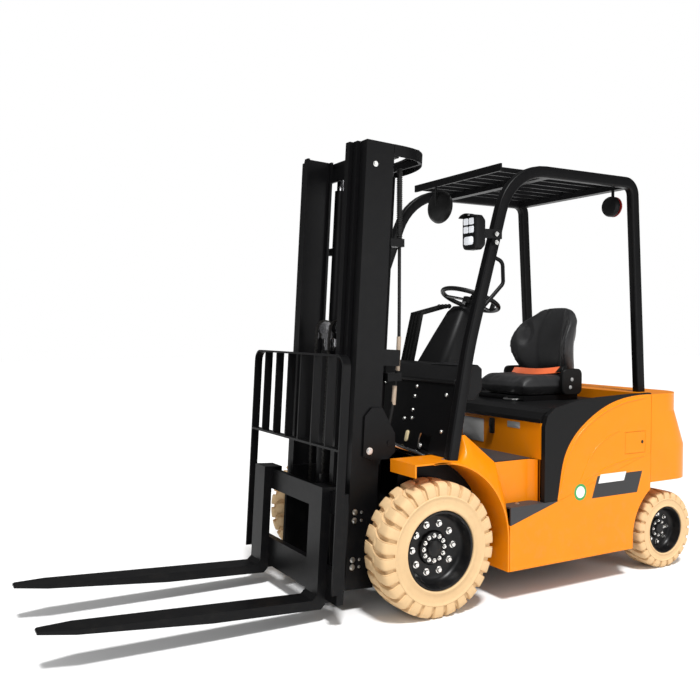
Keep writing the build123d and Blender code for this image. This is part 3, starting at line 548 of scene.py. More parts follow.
# Each ring of nuts: its radius, how many, a nut's radius and height, and the face it stands on
nut_rings = {"front": ((0.118, 10, 0.0125, 0.014, 0.020), (0.060, 12, 0.0080, 0.009, 0.035)),
             "rear": ((0.080, 8, 0.0095, 0.012, 0.0168), (0.042, 8, 0.0055, 0.006, 0.0294))}
for end, (rim_radius, lugs, depth) in tyre_shape.items():
    for outward, side in both_sides:
        body = f"wheel_{end}_{side}"
        low, high = corners_of(f"{end}_tyre_{side}")
        middle, size = (low + high) / 2, high - low
        form = tread_form(middle, outward, size[2] / 2, size[0] / 2, rim_radius, lugs, depth)
        tread = piece(f"{end}_tread_{side}", form, body, "tyre_cream", sharp=30.0)
        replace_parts(tread, f"{end}_tyre_{side}")
        form = turned(rim_profile * rim_scale[end], middle, (outward, 0, 0), 72)
        dish = piece(f"{end}_dish_{side}", form, body, "rim_black")
        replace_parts(dish, f"{end}_rim_{side}")
        nuts = []
        for ring, count, radius, height, face in nut_rings[end]:
            for number in range(count):
                turn = 2 * pi * number / count
                foot = middle + (outward * face, ring * cos(turn), ring * sin(turn))
                nuts.append(bolt(foot, (outward, 0, 0), radius, height))
        piece(f"{end}_nuts_{side}", joined(nuts), body, "rod_chrome", bright_bolt)


# Seat: blown up by cloth simulation inside the space of the CAD solids

def remeshed(form, name, voxel):
    """a closed form as an even mesh of small quads"""
    mesh = bpy.data.meshes.new(name)
    mesh.from_pydata(form[0].tolist(), [], form[1])
    made = linked(name, mesh)
    modifier = made.modifiers.new("even", "REMESH")
    modifier.mode = "VOXEL"
    modifier.voxel_size = voxel
    apply_modifiers(made)
    return made


def evaluated(made):
    """the mesh of an object as its modifiers leave it"""
    return bpy.data.meshes.new_from_object(made.evaluated_get(bpy.context.evaluated_depsgraph_get()))


def apply_modifiers(made):
    shaped = evaluated(made)
    made.modifiers.clear()
    made.data = shaped


def coordinates(mesh):
    flat = np.empty(3 * len(mesh.vertices))
    mesh.vertices.foreach_get("co", flat)
    return flat.reshape(-1, 3)


def blown_up(made, limit, pressure=4.0, last_frame=20):
    """one short cloth simulation with pressure inside; no point moves further than the limit"""
    start = coordinates(made.data)
    cloth = made.modifiers.new("cloth", "CLOTH")
    cloth.settings.use_pressure = True
    cloth.settings.uniform_pressure_force = pressure
    cloth.settings.effector_weights.gravity = 0.0
    cloth.settings.quality = 5
    for number in range(1, last_frame + 1):
        bpy.context.scene.frame_set(number)
    move = coordinates(evaluated(made)) - start
    length = np.linalg.norm(move, axis=1, keepdims=True)
    move *= np.minimum(1.0, limit / np.maximum(length, 1e-9))
    made.modifiers.clear()
    made.data.vertices.foreach_set("co", (start + move).ravel())
    bpy.context.scene.frame_set(1)


def smoothed(made):
    rounds = made.modifiers.new("smooth", "SMOOTH")
    rounds.factor = 0.5
    rounds.iterations = 6
    apply_modifiers(made)


def upholstered(made, name, node):
    """the finished pad: smooth, grained and riding with the hood, in place of its CAD solid"""
    made.name = name
    made.data.polygons.foreach_set("use_smooth", np.ones(len(made.data.polygons), bool))
    made.data.materials.clear()
    made.data.materials.append(materials["seat_vinyl"])
    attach(made, "hood")
    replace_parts(made, node)


def pressed_in(points, centre, size, depth, direction):
    """points moved along a direction, most at the centre of an oval, not at all outside it"""
    away = np.linalg.norm((points - centre) / size, axis=1)
    return points + np.asarray(direction) * (depth * (1 - smooth_step(away, 0.35, 1.0)))[:, None]


def cushion_start():
    """the cushion: a rounded box that dips in the middle, with raised sides and a nose that rolls down"""
    low, high = corners_of("seat_cushion")
    across, deep = np.meshgrid(np.linspace(-1, 1, 33), np.linspace(-1, 1, 33), indexing="ij")
    crown = (1 - across ** 8) ** 0.5 * (1 - deep ** 8) ** 0.5
    width, length, height = (high - low) / 2 - (0.008, 0.008, 0.006)
    middle = (low + high) / 2
    squeeze = 1 - 0.10 * deep ** 2 * (deep < 0)
    sides = 0.34 * smooth_step(np.abs(across), 0.45, 0.85) - 0.10
    nose = -0.45 * smooth_step(-deep, 0.6, 1.0)
    top = middle[2] + height * (crown * (0.98 + 0.6 * sides + nose * 0.6) - 0.04)
    under = middle[2] - height * crown
    x = middle[0] + width * across * squeeze
    y = middle[1] + length * deep * (1 - 0.06 * across ** 2)
    upper = np.stack([x, y, top], -1)
    lower = np.stack([x, y, under], -1)
    return joined([skin(upper), flipped(skin(lower)), rim_between(upper, lower)])


def rim_between(upper, lower):
    """the strip that joins the edges of two grids"""
    edges = [np.concatenate([grid[:-1, 0], grid[-1, :-1], grid[:0:-1, -1], grid[0, :0:-1]])
             for grid in (lower, upper)]
    return skin(np.stack(edges), around=True)


def back_start():
    """the backrest: a curved shell, wide at mid height, whose sides come forward, with a padded front"""
    low, high = corners_of("seat_back")
    across, rise = np.meshgrid(np.linspace(-1, 1, 41), np.linspace(0, 1, 41), indexing="ij")
    half = (high[0] - low[0]) / 2 + 0.006
    tall = high[2] - low[2] + 0.024
    outline = (0.70 + 0.30 * np.sin(pi * np.clip(rise * 0.93 + 0.03, 0, 1)) ** 0.8) * (
        1 - smooth_step(rise, 0.72, 1.0) ** 2 * 0.26)
    x = half * across * outline
    z = low[2] - 0.024 + tall * rise * (1 - 0.055 * np.abs(across) ** 3 * (rise > 0.5) * rise)
    lean = 0.055 * rise - 0.035 * np.sin(pi * rise)
    wing = 0.120 * smooth_step(np.abs(across), 0.35, 1.0) * np.sin(pi * np.clip(0.12 + 0.8 * rise, 0, 1))
    front_y = high[1] - 0.112 + lean - wing
    thick = (0.092 - 0.030 * rise) * (1 - across ** 8) ** 0.5 * (1 - (2 * rise - 1) ** 10) ** 0.5
    front = np.stack([x, front_y, z], -1)
    rear = np.stack([x, np.minimum(front_y + thick + 0.25 * wing, high[1] - 0.004), z], -1)
    return joined([skin(rear), flipped(skin(front)), rim_between(rear, front)])


seat_voxel = 0.006
cushion = remeshed(cushion_start(), "cushion_start", seat_voxel)
blown_up(cushion, 0.007)
smoothed(cushion)
upholstered(cushion, "seat_cushion_pad", "seat_cushion")
back = remeshed(back_start(), "back_start", seat_voxel)
blown_up(back, 0.006)
points = coordinates(back.data)
back_low, back_high = corners_of("seat_back")
for side in (-1, 1):
    oval = (side * 0.165, back_low[1] + 0.02, back_low[2] + 0.60 * (back_high[2] - back_low[2]))
    points = pressed_in(points, oval, (0.045, 0.14, 0.095), 0.022, (0, 1, 0))
back.data.vertices.foreach_set("co", points.ravel())
smoothed(back)
upholstered(back, "seat_back_pad", "seat_back")


# Seat belt: a flat strap over the cushion with its buckle

def strap(path, width, thickness, name, body, slot, reference):
    """a flat band along a path, with its length in U and its width in V"""
    path = np.asarray(path, float)
    _, side, up = frames_along(path, reference)
    steps = np.array(((-0.5, 0.0), (-0.47, 0.5), (0.0, 0.5), (0.47, 0.5),
                      (0.5, 0.0), (0.47, -0.5), (0.0, -0.5), (-0.47, -0.5)))
    wide, thick = width * steps[None, :, :1], thickness * steps[None, :, 1:]
    made = piece(name, shell(path[:, None] + wide * up[:, None] + thick * side[:, None]), body, slot)
    uv = made.data.uv_layers.new(name="UVMap")
    loops = np.empty(len(made.data.loops), int)
    made.data.loops.foreach_get("vertex_index", loops)
    ring, place = np.divmod(loops, len(steps))
    length = np.concatenate([[0], np.cumsum(np.linalg.norm(np.diff(path, axis=0), axis=1))])
    uv.data.foreach_set("uv", np.stack([length[ring], steps[place, 0] + 0.5], -1).ravel())
    return made


def rounded_path(points, count=40):
    """an even path along a smooth spline through control points"""
    points = np.asarray(points, float)
    curve = bpy.data.curves.new("path", "CURVE")
    curve.dimensions = "3D"
    curve.resolution_u = count // max(1, len(points) - 2)
    spline = curve.splines.new("NURBS")
    spline.points.add(len(points) - 1)
    spline.points.foreach_set("co", np.concatenate([points, np.ones((len(points), 1))], 1).ravel())
    spline.order_u = 4
    spline.use_endpoint_u = True
    carrier = linked("path", curve)
    mesh = bpy.data.meshes.new_from_object(carrier)
    line = coordinates(mesh)
    bpy.data.objects.remove(carrier)
    bpy.data.curves.remove(curve)
    bpy.data.meshes.remove(mesh)
    return line


cushion_points = coordinates(cushion.data)


def resting(x, y, clear):
    """a point that clears the highest point of the cushion near it"""
    near = np.abs(cushion_points[:, :2] - (x, y)).max(axis=1) < 0.02
    return (x, y, cushion_points[near, 2].max() + clear)


belt_low, belt_high = corners_of("seat_belt")
belt_y = (belt_low[1] + belt_high[1]) / 2
belt_stops = ((-0.19, -0.01, 0.012), (-0.12, -0.03, 0.016), (-0.03, -0.035, 0.017),
              (0.06, -0.03, 0.018), (0.14, -0.01, 0.022), (0.20, 0.01, 0.034))
belt_line = rounded_path([resting(x, belt_y + back, clear) for x, back, clear in belt_stops])
belt_lean = (0, 0.55, 0.83)
belt_width, belt_thick = 0.042, 0.0024
belt = strap(belt_line, belt_width, belt_thick, "seat_belt_strap", "hood", "belt_webbing", belt_lean)
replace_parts(belt, "seat_belt")
rest_in, rest_thick = 0.236, 0.024
cap_profile = [(0, 0.011), (0.002, 0.011), (0.003, 0.009)]
hip_rests, caps = [], []
for side in (-1, 1):
    foot = (side * rest_in, belt_y + 0.046, 1.062)
    hip_rests.append(pad_on(foot, (side, 0, 0), upward, 0.155, 0.150, rest_thick, 0.035, 0.004))
    for back, height in ((0.040, 1.075), (0.028, 1.030)):
        foot = (side * (rest_in + rest_thick + 0.0002), belt_y + back, height)
        caps.append(turned(cap_profile, foot, (side, 0, 0), 20))
piece("hip_rests", joined(hip_rests), "hood", "control_black")
piece("hip_rest_caps", joined(caps), "hood", "floor_grey", grey_sheet)
buckle_at = belt_line[-1]
buckle_out, buckle_along = (0, -0.8, 0.6), (1, 0, 0.4)
buckle_case = pad_on(buckle_at + (0.0, 0.010, -0.006), buckle_out, buckle_along, 0.040, 0.070, 0.016, 0.006)
button_at = buckle_at + (0.012, -0.004, 0.004)
buckle_button = pad_on(button_at, buckle_out, buckle_along, 0.024, 0.018, 0.003, 0.003)
buckle = joined([buckle_case, buckle_button])
piece("belt_buckle", buckle, "hood", "trim_black", materials["control_black"])


# Leaf chains in place of the plain straps: staggered link plates on pins

def chain_path(x, low_y, high_y, top, front_bottom, rear_bottom, pitch):
    """the middle of a chain: up the front run, half round the pulley, and down the rear run, in even steps"""
    middle, radius = (low_y + high_y) / 2, (high_y - low_y) / 2
    front, bend, rear = top - front_bottom, pi * radius, top - rear_bottom
    along = np.arange(0, front + bend + rear, pitch)
    turn = np.clip((along - front) / radius, 0, pi)
    y = middle - radius * np.cos(turn)
    over = np.where(along < front + bend, top + radius * np.sin(turn), top - (along - front - bend))
    z = np.where(along < front, front_bottom + along, over)
    return np.stack([np.full_like(y, x), y, z], -1)


def link_plates(path, offset, width, thickness, first):
    """one row of link plates: each a flat oval from one pin to the next but one"""
    starts, ends = path[first:-1:2], path[first + 1::2]
    count = min(len(starts), len(ends))
    starts, ends = starts[:count], ends[:count]
    along = ends - starts
    reach = np.linalg.norm(along, axis=1, keepdims=True)
    along = along / reach
    across = np.cross(along, left)
    oval = circle(1.0, 10)
    long = (reach / 2 + width * 0.42)[:, None] * oval[None, :, :1]
    wide = 0.5 * width * oval[None, :, 1:]
    ring = ((starts + ends) / 2)[:, None] + long * along[:, None] + wide * across[:, None]
    both = np.stack([ring + left * (offset - thickness / 2), ring + left * (offset + thickness / 2)], 1)
    return joined([shell(pair) for pair in both])


def leaf_chain(path):
    """rows of plates by turns on odd and even pins, with a pin through every joint"""
    plate_width, plate_thick = 0.0096, 0.0026
    offsets = (-0.0085, -0.0051, -0.0017, 0.0017, 0.0051, 0.0085)
    pin_half, pin_radius = 0.0108, 0.0022
    rows = [link_plates(path, offset, plate_width, plate_thick, number % 2)
            for number, offset in enumerate(offsets)]
    pins = [turned([(-pin_half, pin_radius), (pin_half, pin_radius)], point, left, 6) for point in path]
    return joined(rows + pins)


chain_x = 70.0
pulley_y, pulley_z = -312.0, 1350.0
chain_bend = 45.3
chain_foot, chain_end = 560.0, 1222.0
chain_pitch = 15.9
chains = []
for x in (-chain_x, chain_x):
    line = chain_path(x, pulley_y - chain_bend, pulley_y + chain_bend, pulley_z, chain_foot, chain_end,
                      chain_pitch)
    chains.append(leaf_chain(on_mast(line[:, 0], line[:, 1], line[:, 2])))
chain_piece = piece("leaf_chains", joined(chains), "free_lift_rod", "chain_steel")
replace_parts(chain_piece, "lift_chains")


# Hoses on the mast's uprights: ribbed covers near the top, light sleeves and clamps lower down

def ribbed(centre_line, radius, depth, ribs, sides=14):
    """a corrugated tube: the radius swells and shrinks along it as a sine"""
    share = np.linspace(0, 1, ribs * 6 + 1)[:, None]
    path = centre_line[0] + (centre_line[1] - centre_line[0]) * share
    size = 1 + depth / radius * np.sin(2 * pi * ribs * share[:, 0])
    return carried(circle(radius, sides), path, size=size)


hose_x = 300.0
hose_radius, sleeve_radius, cover_radius = 0.0085, 0.0112, 0.0135
hose_line = ((-29, 1800), (-29, 1500), (-29, 1300), (-36, 1180), (-52, 1100), (-66, 960), (-110, 820),
             (-150, 700))
sleeve_runs = ((-30, 1330, -38, 1160), (-54, 1085, -62, 990))
clamp_half = 26.0
covers, bare_hoses, sleeves, clamps = [], [], [], []
for x in (-hose_x, hose_x):
    covers.append(ribbed(on_truck(x, -29, np.array((1790.0, 2165.0))), cover_radius, 0.0022, 40))
    run = rounded_path([on_truck(x, y, z) for y, z in hose_line], 60)
    bare_hoses.append(carried(circle(hose_radius), run))
    for y0, z0, y1, z1 in sleeve_runs:
        spine = on_truck(x, np.linspace(y0, y1, 6), np.linspace(z0, z1, 6))
        sleeves.append(carried(circle(sleeve_radius, 14), spine))
    for y, z in ((-46, 1130), (-32, 1795)):
        clamps.append(slab_between((x - clamp_half, y - 66, z - 20), (x + clamp_half, y + 16, z + 20)))
        clamps.append(bolt(on_truck(x + 12, y + 16, z), (0, 1, 0), 0.006, 0.005))
for name, forms, material in (("hose_covers", covers, hose_black), ("mast_hoses", bare_hoses, hose_black),
                              ("hose_sleeves", sleeves, sleeve_beige)):
    piece(name, joined(forms), "mast_outer", "frame_black", material, 60.0)
piece("hose_clamps", joined(clamps), "mast_outer", "frame_black")


# Cab forms drawn fuller than the solids: guard legs, leaning wall, dash, column, fenders, recess and lamps

def filleted(points, radii, steps=10):
    """straight runs with arcs for corners, each tangent to both runs at radius / tan(half the corner)"""
    points = [np.asarray(point, float) for point in points]
    path = [points[0]]
    for before, corner, after, radius in zip(points, points[1:], points[2:], radii):
        inward = (before - corner) / np.linalg.norm(before - corner)
        outward = (after - corner) / np.linalg.norm(after - corner)
        half = np.arccos(np.clip(inward @ outward, -1, 1)) / 2
        middle = (inward + outward) / np.linalg.norm(inward + outward)
        centre = corner + middle * radius / np.sin(half)
        start = corner + inward * radius / np.tan(half) - centre
        end = corner + outward * radius / np.tan(half) - centre
        spread = np.pi - 2 * half
        share = np.linspace(0, 1, steps)[:, None]
        arc = (np.sin((1 - share) * spread) * start + np.sin(share * spread) * end) / np.sin(spread)
        path += list(centre + arc)
    return np.array(path + [points[-1]])


def softened(made, width, segments=2):
    """rounded edges on a finished piece"""
    modifier = made.modifiers.new("edge", "BEVEL")
    modifier.width = width
    modifier.segments = segments
    modifier.limit_method = "ANGLE"
    modifier.angle_limit = radians(40)
    return made


counterweight_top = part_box("counterweight")[1][2]
rear_foot = 1000 * counterweight_top - 4
leg_points = [(566, 92, 722), (523, 232, 1287), (458, 548, 2198), (458, 1452, 2198), (458, 1525, rear_foot)]
leg_path = filleted([on_truck(*point) for point in leg_points], (2.5, 0.33, 0.07))
tube_width, tube_depth, tube_corner = 0.060, 0.046, 0.010
leg = carried(rounded_rectangle(tube_width, tube_depth, tube_corner), leg_path)
for side, name in both_sides:
    made = piece("guard_leg_" + name, on_side(side, leg), "truck", "frame_black")
    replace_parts(made, "guard_frame_" + name)
handle_points = [(492, 400, 1738), (494, 470, 1710), (500, 470, 1600), (508, 336, 1480)]
handle_path = filleted([on_truck(*point) for point in handle_points], (0.034, 0.034), 6)
piece("guard_handle", carried(circle(0.010), handle_path), "truck", "frame_black")


# The wall leans back between the guard's legs, with the dash on its head and the steering column behind it
deck_z = 742.0
wall_foot_y = 92.0
wall_lean = 0.256
wall_low, wall_high = 742.5, 1092.0
wall_foot, wall_head = 531.0, 505.0
slot_in, slot_out, slot_top = 273.0, 377.0, 830.0


def wall_y(z):
    """the front of the wall at a height"""
    return wall_foot_y + (np.asarray(z, float) - deck_z) * wall_lean


wall_x, wall_z = np.array((
    (wall_foot, wall_low), (wall_head, wall_high), (-wall_head, wall_high), (-wall_foot, wall_low),
    (-slot_out, wall_low), (-slot_out, slot_top), (-slot_in, slot_top), (-slot_in, wall_low),
    (slot_in, wall_low), (slot_in, slot_top), (slot_out, slot_top), (slot_out, wall_low))).T
wall_thick = 6.0
wall_form = shell([on_truck(wall_x, wall_y(wall_z) + depth, wall_z) for depth in (wall_thick, 0.0)])
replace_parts(softened(piece("front_wall", wall_form, "truck", "frame_black"), 0.0015), "cowl")
dash_low, dash_lip = 1010.0, 6.0
dash_profile = [(wall_y(dash_low) + wall_thick, dash_low), (wall_y(wall_high) + wall_thick, wall_high),
                (wall_y(wall_high) - dash_lip, wall_high + 0.5), (wall_y(wall_high) - dash_lip, 1112),
                (236, 1172), (262, 1184), (322, 1190), (350, 1168), (350, 1060), (300, dash_low)]
dash = piece("dash", prism(dash_profile[::-1], -486, 486), "truck", "trim_black")
softened(dash, 0.008, 3)
panel = prism([(252, 1183), (318, 1189), (318, 1192), (252, 1186)][::-1], 180, 430)
piece("dash_display", panel, "truck", "trim_black", black_sheet)


def column_ring(centre, lean, width, depth, corner):
    """a rounded rectangle square to a direction that leans back from upright"""
    back = np.array((0.0, cos(lean), -sin(lean)))
    return on_truck(*centre) + laid(rounded_rectangle(width, depth, corner, 6), left, back)


column_stations = [((0, 345, 699), 0.0, 0.20, 0.14, 0.04), ((0, 392, 950), 0.20, 0.23, 0.18, 0.05),
                   ((0, 450, 1140), 0.32, 0.27, 0.215, 0.055), ((0, 525, 1305), 0.40, 0.21, 0.17, 0.05),
                   ((0, 588, 1445), 0.385, 0.155, 0.13, 0.045), ((0, 606, 1478), 0.385, 0.125, 0.105, 0.04)]
column_form = shell([column_ring(*station)[::-1] for station in column_stations])
shaft_axis = np.array((0.0, sin(radians(22)), cos(radians(22))))
shaft = turned([(-0.075, 0.022), (-0.030, 0.022)], on_truck(0, 654, 1535), shaft_axis, 24)
column = piece("column_cover", joined([column_form, shaft]), "truck", "trim_black", sharp=50.0)
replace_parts(column, "steering_column")


# Fenders: a flat top with a front lip, an arch liner, and a wall that flares out to the arch's edge
arch_in, arch_out = 409.0, 417.0
body_half = 621.0
well_side = 408.5
liner_foot = 161.0


def arch_point(radius, degrees):
    """y and z of points on a wheel arch"""
    return radius * np.cos(np.radians(degrees)), axle_z + radius * np.sin(np.radians(degrees))


liner_turn = np.linspace(95.6, 0.0, 40)
liner_profile = np.concatenate([
    np.stack(arch_point(arch_out, liner_turn), -1), [(arch_out, liner_foot), (arch_in, liner_foot)],
    np.stack(arch_point(arch_in, liner_turn), -1)[::-1]])
# Each station: its share of the way back, the turn on the arch, and y, z and x of the upper edge
fender_stations = np.array(((0.00, 90, -20, deck_z, 520), (0.20, 74, 150, deck_z, 520),
                            (0.34, 66, 196, 846, 518), (0.42, 60, 216, 846, 520),
                            (0.78, 34, 396, 698, 531), (1.00, 9, 474, 481, 531)))
share = np.linspace(0, 1, 61)
arch_turn, upper_y, upper_z, upper_x = (np.interp(share, fender_stations[:, 0], column)
                                        for column in fender_stations[:, 1:].T)
lower = on_truck(body_half, *arch_point(arch_out, arch_turn))
upper = on_truck(upper_x, upper_y, upper_z)
reach = np.linspace(0, 1, 13)[:, None, None]
swell = 0.010 * np.sin(pi * reach) * np.array((1.0, 0.0, 0.4))
flare_grid = lower + (upper - lower) * reach + swell * np.sin(pi * share)[None, :, None] ** 0.5
flare_back = flare_grid - np.array((0.006, 0.0, 0.004))
flare = joined([skin(flare_grid[:, ::-1]), skin(flare_back),
                rim_between(flare_back[:, ::-1], flare_grid[:, ::-1])])
fender_front, fender_under, lip_low = -149.0, 734.0, 680.0


def fender_plate(y0, y1, z0, z1):
    """a plate across the fender, from the mast's well out to its side"""
    return prism([(y0, z0), (y1, z0), (y1, z1), (y0, z1)][::-1], well_side, body_half)


fender = joined([flare, fender_plate(fender_front, 60, fender_under, deck_z),
                 fender_plate(fender_front, fender_front + 8, lip_low, fender_under),
                 slab_between((well_side, 60, fender_under), (520, 228, deck_z)),
                 prism(liner_profile[::-1], well_side, body_half)])
recess_x, recess_back = 531, 648
recess_plan = ((recess_x, 390), (recess_x, recess_back), (586, recess_back))
recess = filleted([on_truck(x, y, 0) for x, y in recess_plan], (0.040,), 8)
recess_grid = np.stack([recess + (0, 0, 0.4815), recess + (0, 0, 0.697)])
recess_wall = joined([skin(recess_grid[:, ::-1]), skin(recess_grid - (0.0025, 0, 0))])
for side, name in both_sides:
    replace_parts(piece("fender_" + name, on_side(side, fender), "truck", "body_orange"), "fenders")
    piece("recess_wall_" + name, on_side(side, recess_wall), "truck", "body_orange")


# Headlamps under a visor on their arms, the round rear lamp, and the mirror hung from the roof

def stepped(outline, middle, steps):
    """a closed shell square to the truck's length: at each depth the outline, scaled by its share"""
    return shell([middle + (0, depth, 0) + share * laid(outline, left, upward) for depth, share in steps])


lamp_x, lamp_y, lamp_z = 530.0, 262.0, 1842.0
lamp_arm_x = 513.0
rear_lamp_x, rear_lamp_z = 365, 2073
lamp_steps = ((-0.037, 0.93), (-0.033, 0.99), (-0.026, 1.0), (0.012, 1.0), (0.030, 0.84), (0.038, 0.58))
lamp_outline = rounded_rectangle(0.104, 0.170, 0.024, 6)
visor_turn = np.radians(np.linspace(25, 155, 15))
visor_arc = np.stack([0.056 * np.cos(visor_turn), 0.030 * np.sin(visor_turn) + 0.060], -1)
visor_under = visor_arc - (0, 0.003)
visor_edges = ((-0.062, visor_arc), (-0.030, visor_arc), (-0.030, visor_under), (-0.062, visor_under))
lamp_shells = []
for side in (1, -1):
    middle = on_truck(side * lamp_x, lamp_y, lamp_z)
    visor = np.stack([middle + (0, depth, 0) + laid(arc, left, upward) for depth, arc in visor_edges])
    arm_x = side * lamp_arm_x
    lamp_shells += [stepped(lamp_outline, middle, lamp_steps), skin(visor, along=True),
                    slab_between((arm_x - 4, 292, 1822), (arm_x + 4, 446, 1868))]
rear_shell = [(-0.020, 0.030), (-0.016, 0.052), (-0.004, 0.058), (0.014, 0.058), (0.016, 0.055)]
lamp_shells.append(turned(rear_shell, on_truck(rear_lamp_x, 1380, rear_lamp_z), (0, 1, 0), 36))
lamp_shells.append(slab_between((rear_lamp_x - 10, 1397, rear_lamp_z), (rear_lamp_x + 10, 1400.5, 2172)))
shells = piece("lamp_housings", joined(lamp_shells), "truck", "frame_black", materials["trim_black"], 40.0)
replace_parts(shells, "lamps")
mirror_x = -182
mirror_oval = circle(1.0, 48) * (0.115, 0.094)
mirror_middle = on_truck(mirror_x, 570, 2080)
mirror_steps = ((0.006, 0.97), (0.006, 1.0), (0.0, 1.02), (-0.010, 0.97), (-0.020, 0.80), (-0.028, 0.50),
                (-0.031, 0.10))
mirror_shell = stepped(mirror_oval, mirror_middle, mirror_steps)
arm_points = [on_truck(mirror_x, y, z) for y, z in ((545, 2084), (536, 2150), (541, 2200))]
arm = carried(circle(0.007, 10), filleted(arm_points, (0.03,), 6))
piece("mirror_housing", joined([mirror_shell, arm]), "truck", "trim_black", materials["control_black"], 40.0)


# Mast top: a crescent plate with a flange along its rear edge, over the stage's cross tie
bow_low, bow_plate, bow_top = 2206, 2252, 2262


def bow_line(half, reach):
    """x and y of a flattened half oval, from one upright round the rear to the other"""
    turn = np.linspace(-1, 1, 41) * pi / 2
    return np.stack([half * np.sin(turn), -199 + reach * np.cos(turn) ** 0.62], -1)


bow_outer, bow_inner = bow_line(350, 292), bow_line(318, 215)
bow_edge = bow_outer * 0.975
bow_section = ((bow_outer, bow_low), (bow_outer, bow_top), (bow_inner, bow_top),
               (bow_inner, bow_plate), (bow_edge, bow_plate), (bow_edge, bow_low))
bow_rings = np.stack([on_mast(line[:, 0], line[:, 1], z) for line, z in bow_section], 1)
softened(piece("mast_bow", shell(bow_rings), "mast_outer", "frame_black"), 0.0015)


# Fasteners on the mast, the cowl, the lamps, the step and the guard

def on_cowl(x, z):
    """a point on the front of the leaning wall"""
    return on_truck(x, wall_y(z), z)


cowl_out = np.array((0.0, -1.0, wall_lean)) / np.hypot(1.0, wall_lean)
cowl_bolts = [(159, 1066), (159, 1015), (167, 944), (173, 902), (106, 893), (428, 1039), (448, 860)]
fasteners = [bolt(on_cowl(side * x, z), cowl_out, 0.0085, 0.006) for x, z in cowl_bolts for side in (1, -1)]
fasteners += [bolt(on_truck(side * lamp_x, lamp_y + 140, lamp_z + rise), (side, 0, 0), 0.009, 0.008)
              for side in (1, -1) for rise in (-40, 2)]
fasteners += [bolt(on_truck(side * 560, y, 481.0), upward, 0.009, 0.005)
              for side in (1, -1) for y in (520, 690)]
fasteners += [bolt(on_truck(side * 552, 60, deck_z), upward, 0.008, 0.005) for side in (1, -1)]
piece("truck_bolts", joined(fasteners), "truck", "rod_chrome", zinc)
mast_bolts = []
mast_bolt_spots = ((-320, 470, 0.011), (-320, 430, 0.011), (-320, 240, 0.011), (-320, 205, 0.011),
                   (-282, 468, 0.006), (-282, 430, 0.006), (-282, 240, 0.006), (-282, 205, 0.006),
                   (-300, 2150, 0.010))
for side in (1, -1):
    out = leaning((side, 0, 0))
    for y, z, radius in mast_bolt_spots:
        mast_bolts.append(bolt(on_mast(side * 347.5, y, z), out, radius, radius * 0.6))
    mast_bolts.append(bolt(on_mast(side * 359.5, -262, 765), out, 0.013, 0.009))
piece("mast_bolts", joined(mast_bolts), "mast_outer", "rod_chrome", zinc)


# On the wall: an oval plug and a small release lever
plug = pad_on(on_cowl(169, 808), cowl_out, upward, 0.026, 0.060, 0.006, 0.0128)
piece("cowl_plug", plug, "truck", "trim_black", plug_cream)
lever_x, lever_z = 298, 773
lever_steps = ((0, 0, 0.004), (4, 15, 0.02), (18, 45, 0.026), (24, 62, 0.026))
lever_line = rounded_path([on_cowl(lever_x + aside, lever_z + rise) + out * cowl_out
                           for aside, rise, out in lever_steps], 24)
lever_boss = bolt(on_cowl(lever_x, lever_z), cowl_out, 0.012, 0.010, 16)
piece("cowl_lever", joined([carried(circle(0.0035, 8), lever_line), lever_boss]), "truck", "rod_chrome", zinc)


# Lamps: a two by two block of white squares above one wide lens; the round rear lamp's red lens
lamp_front = lamp_y - 37.0
lens_thick = 0.004
lenses = []
for x in (lamp_x, -lamp_x):
    for column in (-21, 21):
        for row in (12, 52):
            spot = on_truck(x + column, lamp_front, lamp_z + row)
            lenses.append(pad_on(spot, forward, upward, 0.034, 0.032, lens_thick, 0.005))
    wide_spot = on_truck(x, lamp_front, lamp_z - 42)
    lenses.append(pad_on(wide_spot, forward, upward, 0.070, 0.040, lens_thick, 0.012))
piece("headlamp_lenses", joined(lenses), "truck", "trim_black", white_lens)
rear_profile = [(0.0, 0.058), (0.006, 0.057), (0.014, 0.050), (0.020, 0.036), (0.023, 0.018), (0.0235, 0.001)]
rear_lens = turned(rear_profile, on_truck(rear_lamp_x, 1408, rear_lamp_z), (0, 1, 0), 36)
piece("rear_lamp_lens", rear_lens, "truck", "trim_black", red_lens)


# Mirror: convex oval glass in a raised rim, on the side that faces the driver
glass_shares = (0.02, 0.2, 0.4, 0.6, 0.8, 0.94)
glass_steps = [(0.006 * (1 - share ** 2) + 0.0065, share) for share in glass_shares]
piece("mirror_glass", stepped(mirror_oval, mirror_middle, glass_steps), "truck", "rod_chrome", mirror_silver)


# Blank signs and plates on the left side and the battery box's front panel
face_x = body_half


def slanted(y0, y1, z0, z1, lean, x, thickness):
    """a thin parallelogram on the truck's left side, its ends leaning back"""
    return prism([(y0, z0), (y1, z0), (y1 + lean, z1), (y0 + lean, z1)][::-1], x, x + thickness)


def disc(radius, thickness):
    """a flat round sign on the left side"""
    return turned([(0, radius), (thickness, radius)], on_truck(face_x - sunk, 900, 512), left, 40)


def on_panel(x, out, z, width, height, thickness, corner):
    """a plate on the battery box's front panel"""
    return pad_on(on_truck(x, panel_face - out, z), forward, upward, width, height, thickness, corner)


